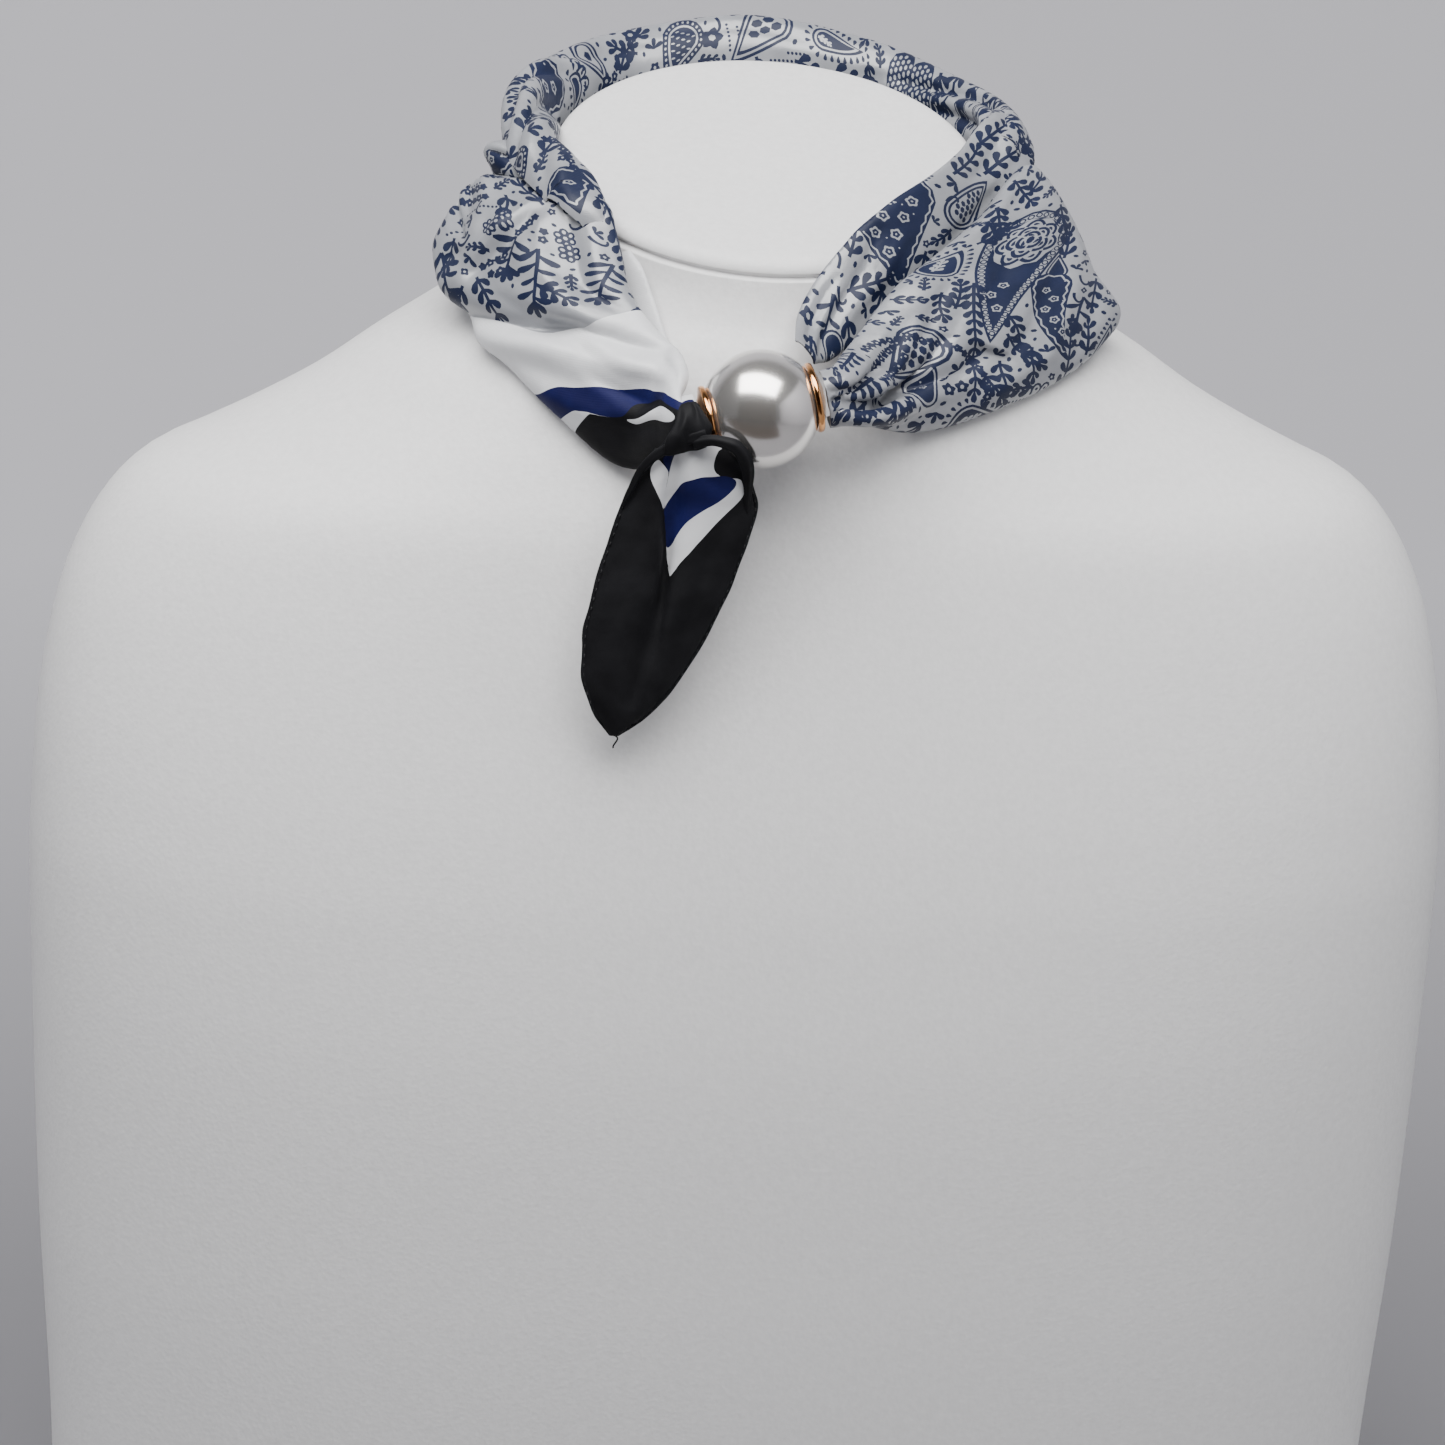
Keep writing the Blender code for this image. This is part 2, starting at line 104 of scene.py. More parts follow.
class BustRow(NamedTuple):
    """One level of the bust in millimetres; tilt is how far it rises from front to back."""

    height: float
    half_width: float
    front: float
    back: float
    squareness: float
    tilt: float


class Spot(NamedTuple):
    """Where one motif of the print lies on the flat cloth, in millimetres and degrees."""

    kind: str
    along: float
    around: float
    size: float
    turn: float = 0.0
    bend: float = 0.0
    reach: float = 0.0


class Crease(NamedTuple):
    """A soft ridge, or a trough below zero, along a route on the flat cloth, in millimetres."""

    height: float
    width: float
    route: tuple


def hermite(places: np.ndarray, values: np.ndarray, wanted: np.ndarray) -> np.ndarray:
    """A smooth curve through the values that never overshoots between two of them.

    Args:
        places: Where each value stands.
        values: The values.
        wanted: The places to read the curve at.

    Returns:
        The curve's value at each wanted place.
    """
    places = np.asarray(places, float)
    values = np.asarray(values, float)
    steps = np.diff(places)
    slopes = np.diff(values) / steps
    tangents = np.zeros(len(values))
    tangents[0], tangents[-1] = slopes[0], slopes[-1]
    before, after = slopes[:-1], slopes[1:]
    same = before * after > 0
    tangents[1:-1][same] = 2 * (before * after)[same] / (before + after)[same]
    spot = np.clip(np.searchsorted(places, wanted, side="right") - 1, 0, len(steps) - 1)
    step = steps[spot]
    t = (wanted - places[spot]) / step
    return (
        (2 * t**3 - 3 * t**2 + 1) * values[spot]
        + (t**3 - 2 * t**2 + t) * step * tangents[spot]
        + (3 * t**2 - 2 * t**3) * values[spot + 1]
        + (t**3 - t**2) * step * tangents[spot + 1]
    )


def section_curve(sections: Sequence[tuple], rows: int) -> tuple[np.ndarray, np.ndarray]:
    """Rows of values on smooth curves through a table of sections.

    Args:
        sections: The table; its first three columns, or the middle of its first six, are places.
        rows: How many rows to make.

    Returns:
        The rows, and where each stands in the table.
    """
    values = np.asarray(sections, float)
    middles = values[:, :3] if values.shape[1] < 6 else (values[:, 0:3] + values[:, 3:6]) / 2
    steps = np.maximum(np.linalg.norm(np.diff(middles, axis=0), axis=1), 1.0)
    places = np.concatenate(([0.0], np.cumsum(steps)))
    spots = np.linspace(0, len(values) - 1, rows)
    wanted = np.interp(spots, np.arange(len(values)), places)
    columns = [hermite(places, column, wanted) for column in values.T]
    return np.stack(columns, axis=1), spots


def ring_points(row: BustRow, sides: int, inset: float = 0.0) -> np.ndarray:
    """The points round the bust at one level.

    Args:
        row: The level's sizes.
        sides: How many points.
        inset: How far inside the level's outline they lie.

    Returns:
        The points in millimetres.
    """
    angle = 2 * math.pi * np.arange(sides) / sides
    power = 2 / row.squareness
    across = np.sign(np.cos(angle)) * np.abs(np.cos(angle)) ** power
    along = np.sign(np.sin(angle)) * np.abs(np.sin(angle)) ** power
    y = ((row.back - row.front) / 2 - inset) * along
    middle = (row.front + row.back) / 2
    x = (row.half_width - inset) * across
    return np.stack((x, middle + y, row.height + row.tilt * y), axis=1)


def clasp_axis() -> Vector:
    """The direction of the clasp, from its left cap to its right one."""
    rise, turn = math.radians(12.7), math.radians(4.0)
    return Vector((math.cos(rise) * math.cos(turn), math.cos(rise) * math.sin(turn), math.sin(rise)))


def on_clasp(along: float, up: float = 0.0, out: float = 0.0) -> Vector:
    """A point in millimetres placed from the pearl's centre: along, above and before its axis."""
    axis = clasp_axis()
    side = axis.cross(Vector((0, 0, 1))).normalized()
    return PEARL_CENTRE + axis * along + side.cross(axis) * up + side * out


def bundle_section(along: float, up: float, half_height: float, half_depth: float) -> Section:
    """The section of a cloth bundle where it meets a cap."""
    top, bottom = on_clasp(along, up + half_height), on_clasp(along, up - half_height)
    return Section(*top, *bottom, half_depth, half_depth)


# ---- Meshes ----


def new_object(name: str, mesh: bpy.types.Mesh, *finishes: bpy.types.Material) -> bpy.types.Object:
    """Links a mesh as a named object.

    Args:
        name: The object's name.
        mesh: Its mesh, in metres in the row frame.
        finishes: Its materials, in slot order.

    Returns:
        The object.
    """
    mesh.name = name
    for finish in finishes:
        mesh.materials.append(finish)
    made = bpy.data.objects.new(name, mesh)
    bpy.context.scene.collection.objects.link(made)
    return made


def dress(piece: bpy.types.Object, node: str = "") -> None:
    """Lets a piece ride on the part and stand for a node.

    Args:
        piece: The piece.
        node: The solid it stands for, if it stands for one.
    """
    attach(piece, "root")
    if node:
        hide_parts(node)
    log.info("%s: %d faces", piece.name, len(piece.data.polygons))


def grid_faces(rows: int, columns: int, closed: bool = False, base: int = 0) -> list[tuple]:
    """Quads over a grid of vertices.

    Args:
        rows: Rows of vertices.
        columns: Vertices in each row.
        closed: Whether each row closes on itself.
        base: The first vertex's number.

    Returns:
        The faces as tuples of vertex numbers.
    """
    faces = []
    for row in range(rows - 1):
        for column in range(columns if closed else columns - 1):
            after = (column + 1) % columns
            here = base + row * columns
            faces.append((here + column, here + after, here + columns + after, here + columns + column))
    return faces


def closed_mesh(name: str, grid: np.ndarray) -> bpy.types.Mesh:
    """A closed smooth body lofted over rings of points.

    Args:
        name: The mesh's name.
        grid: Rings of points in millimetres, before the part is centred.

    Returns:
        The mesh, faces outwards.
    """
    rows, columns = grid.shape[:2]
    placed = (grid + (0, CENTRING_Y, 0)) * MM
    faces = grid_faces(rows, columns, closed=True)
    faces.append(tuple(range(columns))[::-1])
    faces.append(tuple(range((rows - 1) * columns, rows * columns)))
    mesh = bpy.data.meshes.new(name)
    mesh.from_pydata(placed.reshape(-1, 3).tolist(), [], faces)
    shape = bmesh.new()
    shape.from_mesh(mesh)
    bmesh.ops.recalc_face_normals(shape, faces=shape.faces)
    shape.to_mesh(mesh)
    shape.free()
    mesh.shade_smooth()
    return mesh


def joined_mesh(name: str, grids: Sequence[np.ndarray], lean: float) -> bpy.types.Mesh:
    """Closed bodies joined in one mesh, with cloth coordinates read off their front.

    Args:
        name: The mesh's name.
        grids: Each body's rings of points in millimetres.
        lean: How much a place's depth shifts its cloth coordinate sideways.

    Returns:
        The mesh.
    """
    shape = bmesh.new()
    for grid in grids:
        part = closed_mesh("part", grid)
        shape.from_mesh(part)
        bpy.data.meshes.remove(part)
    mesh = bpy.data.meshes.new(name)
    shape.to_mesh(mesh)
    shape.free()
    uv = mesh.uv_layers.new(name="Cloth")
    for loop in mesh.loops:
        spot = mesh.vertices[loop.vertex_index].co
        uv.data[loop.index].uv = (spot.x * 10 + spot.y * lean, spot.z * 10)
    return mesh


def tube_points(path: np.ndarray, radii: np.ndarray, sides: int, flatness: float) -> np.ndarray:
    """Rings of points of a flattened tube round a path.

    Args:
        path: The tube's middle, in millimetres.
        radii: Its radius at each point of the path.
        sides: Points in each ring.
        flatness: How deep it is from front to back, as part of its width.

    Returns:
        The rings of points.
    """
    ahead = np.gradient(path, axis=0)
    ahead /= np.linalg.norm(ahead, axis=1, keepdims=True)
    across = np.cross(ahead, (0.0, -1.0, 0.0))
    across /= np.linalg.norm(across, axis=1, keepdims=True)
    out = np.cross(across, ahead)
    angle = 2 * math.pi * np.arange(sides) / sides
    wide = across[:, None, :] * np.cos(angle)[None, :, None]
    deep = out[:, None, :] * np.sin(angle)[None, :, None] * flatness
    return path[:, None, :] + radii[:, None, None] * (wide + deep)


class BustSurface:
    """The bust's shape as a search tree, for laying cloth on it."""

    def __init__(self, rings: np.ndarray) -> None:
        """Builds the tree from rings of points in millimetres."""
        rows, columns = rings.shape[:2]
        faces = grid_faces(rows, columns, closed=True)
        faces.append(tuple(range((rows - 1) * columns, rows * columns)))
        self.tree = BVHTree.FromPolygons(rings.reshape(-1, 3).tolist(), faces)

    def lay(self, points: np.ndarray, clearance: float) -> np.ndarray:
        """Moves points that are too near the bust out to the clearance.

        Args:
            points: A grid of points in millimetres.
            clearance: The least distance to keep.

        Returns:
            The grid of moved points.
        """
        laid = points.copy()
        for index in np.ndindex(points.shape[:-1]):
            spot, normal, _, _ = self.tree.find_nearest(Vector(points[index]))
            height = (Vector(points[index]) - spot).dot(normal)
            if height < clearance:
                laid[index] = spot + normal * clearance
        return laid


@dataclass
class Stretch:
    """One folded stretch of cloth as a smooth surface that its flat print can be laid on."""

    sections: Sequence[Section]
    folds: Sequence[Fold] = ()
    creases: Sequence[tuple] = ()
    rows: int = 150
    columns: int = 72
    end_direction: Optional[Vector] = None
    points: np.ndarray = field(init=False)
    normals: np.ndarray = field(init=False)
    along: np.ndarray = field(init=False)
    around: np.ndarray = field(init=False)

    def fold_heights(self, table: Sequence[Fold], place: float, across: np.ndarray) -> np.ndarray:
        """How far the named folds raise one row of the cloth.

        Args:
            table: The folds.
            place: The row's place along the cloth, 0 to 1.
            across: Each point's place across it, 0 to 1.

        Returns:
            The height at each point in millimetres.
        """
        total = np.zeros(len(across))
        for fold in table:
            span = (place - fold.start) / (fold.end - fold.start)
            if 0 <= span <= 1:
                middle = fold.across_start + (fold.across_end - fold.across_start) * span
                fade = math.sin(math.pi * min(1.0, 0.12 + 0.88 * span)) ** 0.7
                total += fold.height * fade * np.exp(-(((across - middle) / fold.width) ** 2))
        return total

    def build(self, bust: BustSurface, clearance: float) -> "Stretch":
        """Works out the surface's points, laid on the bust, and its flat sizes.

        Args:
            bust: What the cloth lies on.
            clearance: How far the middle of the cloth stays from it.

        Returns:
            The stretch itself.
        """
        values, spots = section_curve(self.sections, self.rows)
        first, second = values[:, 0:3], values[:, 3:6]
        middle = (first + second) / 2
        path = np.gradient(middle, axis=0)
        path /= np.linalg.norm(path, axis=1, keepdims=True)
        if self.end_direction is not None:
            share = np.clip(spots - (len(self.sections) - 3), 0, 1)[:, None]
            path = path * (1 - share) + np.array(self.end_direction) * share
        normals = np.cross(second - first, path)
        normals /= np.linalg.norm(normals, axis=1, keepdims=True)
        outward = middle * (1, 1, 0) + (0, 0, 12)
        normals *= np.sign((normals * outward).sum(axis=1))[:, None]
        turn = np.linspace(0, 1, self.columns)
        grid = np.empty((self.rows, self.columns, 3))
        for row in range(self.rows):
            place = row / (self.rows - 1)
            over, under, start, end = values[row, 6:10]
            angle = np.radians(start + (end - start) * turn)
            sine = np.sin(angle)
            across = (1 - np.cos(angle)) / 2
            height = sine * np.where(sine > 0, over, under)
            height += self.fold_heights(self.folds, place, across) * np.sqrt(np.maximum(sine, 0))
            half = (second[row] - first[row]) / 2
            grid[row] = middle[row] - half * np.cos(angle)[:, None] + normals[row] * height[:, None]
        grid = bust.lay(grid, clearance)
        centre = grid[:, self.columns // 2]
        self.along = np.concatenate(([0], np.cumsum(np.linalg.norm(np.diff(centre, axis=0), axis=1))))
        steps = np.linalg.norm(np.diff(grid, axis=1), axis=2)
        self.around = np.concatenate((np.zeros((self.rows, 1)), np.cumsum(steps, axis=1)), axis=1)
        outward = self.grid_normals(grid)
        if (outward * normals[:, None, :])[:, self.columns // 2].sum() < 0:
            outward = -outward
        self.points = bust.lay(grid + outward * self.crease_heights()[..., None], clearance)
        self.normals = self.grid_normals(self.points)
        if (self.normals * outward).sum() < 0:
            self.normals *= -1
        return self

    def crease_heights(self) -> np.ndarray:
        """How far the creases raise or sink each point, in millimetres."""
        flat = np.broadcast_to(self.along[:, None], self.around.shape) + 1j * self.around
        total = np.zeros(flat.shape)
        for crease in (Crease(*row) for row in self.creases):
            route = np.array([complex(*corner) for corner in crease.route])
            best = np.full(flat.shape, 1e9)
            share = np.zeros(flat.shape)
            for number in range(len(route) - 1):
                first, step = route[number], route[number + 1] - route[number]
                part = np.clip(((flat - first) * step.conjugate()).real / abs(step) ** 2, 0, 1)
                distance = np.abs(flat - first - part * step)
                nearer = distance < best
                best = np.where(nearer, distance, best)
                share = np.where(nearer, (number + part) / (len(route) - 1), share)
            fade = np.sin(math.pi * np.clip(0.06 + 0.88 * share, 0, 1)) ** 0.6
            total += crease.height * fade * np.exp(-((best / crease.width) ** 2))
        return total

    @staticmethod
    def grid_normals(grid: np.ndarray) -> np.ndarray:
        """Unit normals of a grid of points."""
        found = np.cross(np.gradient(grid, axis=0), np.gradient(grid, axis=1))
        length = np.linalg.norm(found, axis=2, keepdims=True)
        return found / np.maximum(length, 1e-9)

    def outline(self) -> np.ndarray:
        """The stretch's flat outline in millimetres, anticlockwise."""
        last = self.rows - 1
        step = max(1, self.rows // 75)
        rows = list(range(0, last, step)) + [last]
        ends = range(3, self.columns - 3, 3)
        first = [(self.along[row], self.around[row, 0]) for row in rows]
        far = [(self.along[last], self.around[last, column]) for column in ends]
        second = [(self.along[row], self.around[row, -1]) for row in reversed(rows)]
        near = [(self.along[0], self.around[0, column]) for column in reversed(ends)]
        return np.array(first + far + second + near)

    def place(self, flat: np.ndarray) -> tuple[np.ndarray, np.ndarray]:
        """Carries flat points on to the draped surface.

        Args:
            flat: Points along and around the cloth, in millimetres.

        Returns:
            Their places in millimetres and the surface's normals there.
        """
        row = np.interp(flat[:, 0], self.along, np.arange(self.rows))
        low = np.clip(row.astype(int), 0, self.rows - 2)
        share = (row - low)[:, None]
        column = np.empty(len(flat))
        numbers = np.arange(self.columns)
        for index, (around, first) in enumerate(zip(flat[:, 1], low)):
            part = share[index, 0]
            lengths = self.around[first] * (1 - part) + self.around[first + 1] * part
            column[index] = np.interp(around, lengths, numbers)
        left = np.clip(column.astype(int), 0, self.columns - 2)
        part = (column - left)[:, None]

        def read(grid: np.ndarray) -> np.ndarray:
            """Reads a grid between its four nearest points."""
            near = grid[low, left] * (1 - part) + grid[low, left + 1] * part
            far = grid[low + 1, left] * (1 - part) + grid[low + 1, left + 1] * part
            return near * (1 - share) + far * share

        normals = read(self.normals)
        return read(self.points), normals / np.linalg.norm(normals, axis=1, keepdims=True)


# ---- The print ----


class Patch(NamedTuple):
    """One flat piece of a print: its ink and its outline in millimetres, as complex points."""

    ink: Ink
    outline: np.ndarray


def navy(outline: np.ndarray) -> Patch:
    """A dark blue patch."""
    return Patch(Ink.NAVY, outline)


def light(outline: np.ndarray) -> Patch:
    """A patch in the cloth's own ground."""
    return Patch(Ink.GROUND, outline)


def moved(patches: Sequence[Patch], shift: complex, turned: complex = 1) -> list[Patch]:
    """The patches turned about the origin, then moved."""
    return [Patch(patch.ink, patch.outline * turned + shift) for patch in patches]


def walk(step: float, bend: float, count: int) -> list[tuple[complex, float]]:
    """Points and headings along an arc that starts at the origin.

    Args:
        step: How far apart the points are.
        bend: How far the arc turns over its length, in radians.
        count: How many points.

    Returns:
        The points, each with its heading in radians.
    """
    found = []
    point, heading = 0j, 0.0
    for _ in range(count):
        found.append((point, heading))
        heading += bend / count
        point += step * np.exp(1j * heading)
    return found


def oval(centre: complex, long: float, wide: float, turn: float = 0.0, count: int = 8) -> np.ndarray:
    """An oval outline.

    Args:
        centre: Its middle.
        long: Its half length.
        wide: Its half width.
        turn: The direction of its length, in radians.
        count: How many points.

    Returns:
        The outline as complex points.
    """
    angle = 2 * math.pi * np.arange(count) / count
    return centre + np.exp(1j * turn) * (long * np.cos(angle) + 1j * wide * np.sin(angle))


def leaf(base: complex, length: float, width: float, turn: float, bend: float = 0.0) -> np.ndarray:
    """A club-shaped leaf, narrow where it leaves the stem and round at its end."""
    part = np.array((0, 0.22, 0.46, 0.72, 0.92, 1.0))
    half = np.array((0.3, 0.5, 0.86, 1.0, 0.72, 0.0)) * width / 2
    line = part * length * np.exp(1j * bend * part)
    side = 1j * half * np.exp(1j * bend * part)
    outline = np.concatenate((line + side, (line - side)[-2::-1]))
    return base + np.exp(1j * turn) * outline


def ribbon(ink: Ink, points: np.ndarray, widths: np.ndarray | float) -> list[Patch]:
    """A drawn line as a row of quads.

    Args:
        ink: Its ink.
        points: The line's middle, as complex points.
        widths: Its width, or its width at each point.

    Returns:
        The quads.
    """
    ahead = np.gradient(points)
    side = 1j * ahead / np.abs(ahead) * np.broadcast_to(widths, points.shape) / 2
    left, right = points + side, points - side
    return [
        Patch(ink, np.array((left[i], left[i + 1], right[i + 1], right[i])))
        for i in range(len(points) - 1)
    ]


def sprig(size: float, bend: float, pairs: int = 4) -> list[Patch]:
    """A stem with pairs of club-shaped leaves, starting at the origin and growing along +X.

    Args:
        size: The stem's length.
        bend: How far the stem turns over its length, in radians.
        pairs: How many pairs of leaves.

    Returns:
        The patches.
    """
    part = np.linspace(0, 1, 3 * pairs)
    heading = bend * part
    steps = np.exp(1j * heading) * size / (len(part) - 1)
    stem = np.concatenate(([0], np.cumsum(steps[:-1])))
    patches = ribbon(Ink.NAVY, stem, np.linspace(1.05, 0.75, len(part)))
    reach = min(size * 0.46, 4.4)
    for pair in range(pairs):
        index = min(len(part) - 1, 3 * pair + 1)
        for side in (-1, 1):
            length = reach * (1 - 0.25 * pair / pairs) * (1.0 if (pair + side) % 3 else 0.85)
            turn = heading[index] + side * (0.98 - 0.1 * pair / pairs)
            patches.append(navy(leaf(stem[index], length, length * 0.5, turn, -side * 0.3)))
    patches.append(navy(leaf(stem[-1], reach * 0.75, reach * 0.4, heading[-1])))
    return patches


def coral(size: float, bend: float) -> list[Patch]:
    """A thick stem with long clubs that lean toward its growing end, and a fork of three there."""
    pairs = max(2, round(size / 5.6))
    part = np.linspace(0, 1, 4 * pairs)
    heading = bend * part
    stem = np.concatenate(([0], np.cumsum(np.exp(1j * heading[:-1]) * size * 0.72 / (len(part) - 1))))
    patches = ribbon(Ink.NAVY, stem, np.linspace(1.25, 1.05, len(part)))
    for pair in range(pairs):
        for side in (-1, 1):
            index = 4 * pair + (0 if side > 0 else 2)
            length = min(6.6, size * 0.42) * (1 - 0.15 * pair / pairs) * (1.0 if (pair + side) % 3 else 0.84)
            turn = heading[index] + side * (0.8 + 0.12 * (pair % 2))
            patches.append(navy(leaf(stem[index], length, length * 0.34, turn, side * 0.3)))
    for side in (-0.7, 0.0, 0.7):
        patches.append(navy(leaf(stem[-1], min(5.0, size * 0.3), 2.0, heading[-1] + side)))
    return patches


def lobed(radius: float, lobes: int, depth: float = 0.2) -> np.ndarray:
    """The outline of a flower head with round lobes."""
    angle = 2 * math.pi * np.arange(lobes * 4) / (lobes * 4)
    return radius * (1 + depth * np.cos(lobes * angle)) * np.exp(1j * angle)


def flower(size: float, petals: int = 5) -> list[Patch]:
    """A small filled flower with a light centre."""
    return [navy(lobed(size * 0.9, petals)), light(oval(0j, size * 0.34, size * 0.28, 0.4, 6))]


def light_flower(size: float, turn: float) -> list[Patch]:
    """A flower drawn in light on a dark ground, with a dark middle."""
    turned = np.exp(1j * turn)
    return [
        light(lobed(size, 5, 0.16) * turned), navy(lobed(size * 0.62, 5, 0.12) * turned),
        light(oval(0j, size * 0.24, size * 0.18, turn, 6)),
    ]


def open_flower(size: float, petals: int = 6) -> list[Patch]:
    """A small flower of outlined round petals."""
    turns = [2 * math.pi * number / petals for number in range(petals)]
    round_petals = [navy(oval(size * 0.66 * np.exp(1j * turn), size * 0.5, size * 0.46, turn, 9)) for turn in turns]
    hearts = [light(oval(size * 0.7 * np.exp(1j * turn), size * 0.23, size * 0.18, turn, 7)) for turn in turns]
    return round_petals + hearts


def rose(radius: float) -> list[Patch]:
    """A round rose of curved lines on the light ground."""
    patches = [light(lobed(radius, 9, 0.05))]
    for ring, count, start in ((0.88, 7, 0.2), (0.6, 5, 0.5), (0.34, 3, 0.1)):
        for number in range(count):
            part = np.linspace(0, 1, 8)
            angle = 2 * math.pi * (number + start + part * 0.9) / count
            line = radius * ring * (0.82 + 0.22 * np.sin(math.pi * part)) * np.exp(1j * angle)
            patches += ribbon(Ink.NAVY, line, 0.95)
            middle = 2 * math.pi * (number + start + 0.3) / count
            base = radius * (ring - 0.15) * np.exp(1j * middle)
            patches.append(navy(leaf(base, radius * 0.2, radius * 0.11, middle + 1.4, 0.3)))
    patches.append(navy(oval(0j, radius * 0.16, radius * 0.12)))
    return [Patch(p.ink, np.where(p.outline.real > 0, p.outline + 0.32 * p.outline.real, p.outline)) for p in patches]


def curl(size: float, bend: float) -> list[Patch]:
    """A tendril that winds up at its end."""
    part = np.linspace(0, 1, 22)
    heading = bend * 2.4 * part**1.6
    steps = np.exp(1j * heading) * size * 2.1 / len(part) * (1.15 - part * 0.75)
    return ribbon(Ink.NAVY, np.cumsum(steps), 0.95 - 0.2 * part)


def pips(size: float, bend: float, count: int) -> list[Patch]:
    """A string of small flower heads along an arc that starts at the origin."""
    patches = []
    for number, (point, heading) in enumerate(walk(size / count, bend, count)):
        patches.append(navy(lobed(1.2 + 0.12 * (number % 2), 5, 0.16) * np.exp(1j * number) + point))
        if number % 2:
            patches.append(light(oval(point, 0.42, 0.34, heading, 5)))
    return patches


def dots(size: float, bend: float, count: int) -> list[Patch]:
    """A string of dots along an arc that starts at the origin."""
    return [navy(oval(point, 0.46, 0.46, 0.0, 6)) for point, _ in walk(size / count, bend, count)]


def inside(point: complex, loop: np.ndarray) -> bool:
    """Whether a point lies inside a closed outline."""
    after = np.roll(loop, -1)
    crosses = (loop.imag > point.imag) != (after.imag > point.imag)
    rise = np.where(crosses, after.imag - loop.imag, 1.0)
    meet = loop.real + (point.imag - loop.imag) / rise * (after.real - loop.real)
    return bool(np.count_nonzero(crosses & (point.real < meet)) % 2)


class Teardrop:
    """The outline of a paisley, round at the origin, its tip along +X and hooked."""

    def __init__(self, radius: float, length: float, hook: float) -> None:
        """Keeps the round end's radius, the tip's distance and how far it turns, in radians."""
        self.radius = radius
        self.length = length
        self.hook = hook

    def middle(self, part: np.ndarray, length: float) -> np.ndarray:
        """Points of its middle line, from the round end's centre to the tip."""
        fine = np.linspace(0, 1, 60)
        heading = self.hook * fine**2.2
        line = np.concatenate(([0], np.cumsum(np.exp(1j * heading[:-1]) * length / 59)))
        return np.interp(part, fine, line.real) + 1j * np.interp(part, fine, line.imag)

    def outline(self, inset: float, count: int = 16) -> np.ndarray:
        """Its outline, drawn in by an inset.

        Args:
            inset: How far inside the outermost line, in millimetres.
            count: Points along each side.

        Returns:
            The outline as complex points.
        """
        radius, length = self.radius - inset, self.length - inset * 2.0
        part = np.linspace(0, 1, count)
        line = self.middle(part, length)
        heading = self.hook * part**2.2
        half = radius * (1 - part) ** 0.82 * (1 + 0.25 * part * (1 - part))
        side = 1j * np.exp(1j * heading) * half
        back = radius * np.exp(1j * np.linspace(math.pi / 2, 3 * math.pi / 2, count // 2 + 3))[1:-1]
        return np.concatenate(((line + side)[::-1], back, (line - side)[:-1]))

    def border(self, inset: float, spacing: float) -> np.ndarray:
        """Evenly spaced places along an inset outline."""
        loop = self.outline(inset, 40)
        loop = np.append(loop, loop[0])
        lengths = np.concatenate(([0], np.cumsum(np.abs(np.diff(loop)))))
        wanted = np.arange(0, lengths[-1], spacing)
        return np.interp(wanted, lengths, loop.real) + 1j * np.interp(wanted, lengths, loop.imag)

    def wavy(self, inset: float, spacing: float, depth: float, width: float) -> list[Patch]:
        """A light wavy line that follows the outline at an inset."""
        loop = self.border(inset, spacing)
        side = 1j * np.gradient(loop) / np.abs(np.gradient(loop))
        swing = depth * np.cos(math.pi * np.arange(len(loop)) / 2)
        return ribbon(Ink.GROUND, loop + side * swing, width)

    def layer(self, ink: Ink, inset: float) -> Patch:
        """The whole shape inside an inset, in one ink."""
        return Patch(ink, self.outline(inset))

    def lattice(self, inset: float, long: float, wide: float) -> np.ndarray:
        """Staggered places inside an inset, this far apart along and across."""
        loop = self.outline(inset)
        low, high = complex(loop.real.min(), loop.imag.min()), complex(loop.real.max(), loop.imag.max())
        found = [
            complex(along, across + wide / 2 * (number % 2))
            for number, along in enumerate(np.arange(low.real, high.real, long))
            for across in np.arange(low.imag - wide, high.imag + wide, wide)
        ]
        return np.array([point for point in found if inside(point, loop)])

    def solid(self) -> list[Patch]:
        """A dark paisley with light flowers and a light wavy line inside its edge."""
        broad = self.radius > 5.4
        patches = [self.layer(Ink.NAVY, 0)]
        patches += self.wavy(1.15 if broad else 0.85, 0.95, 0.32 if broad else 0.0, 0.5)
        spacing = 5.6 if self.radius > 9 else max(3.2, self.radius * 0.72)
        petal = spacing * 0.3
        for number, point in enumerate(self.lattice(1.7 + petal, spacing, spacing * 1.06)):
            patches += moved(light_flower(petal, 0.9 * number), point)
        for number, point in enumerate(self.lattice(2.0, spacing * 0.5, spacing * 1.06) + 0.26j * spacing):
            if number % 2:
                patches.append(light(oval(point, 0.34, 0.26, number, 5)))
        return patches

    def beaded(self) -> list[Patch]:
        """A light paisley with a beaded border, a rose and a dark flowered tail."""
        patches = [self.layer(Ink.NAVY, -0.2), self.layer(Ink.GROUND, 0.7)]
        for point in self.border(1.8, 2.2):
            patches += [navy(oval(point, 1.05, 1.05, 0.0, 8)), light(oval(point, 0.6, 0.6, 0.0, 7))]
        patches.append(self.layer(Ink.NAVY, 2.8))
        for number, point in enumerate(self.lattice(4.8, 5.4, 5.0)):
            if point.real > self.radius * 1.3:
                patches += moved(light_flower(1.5, 0.9 * number), point)
        return patches + rose(self.radius - 3.2)

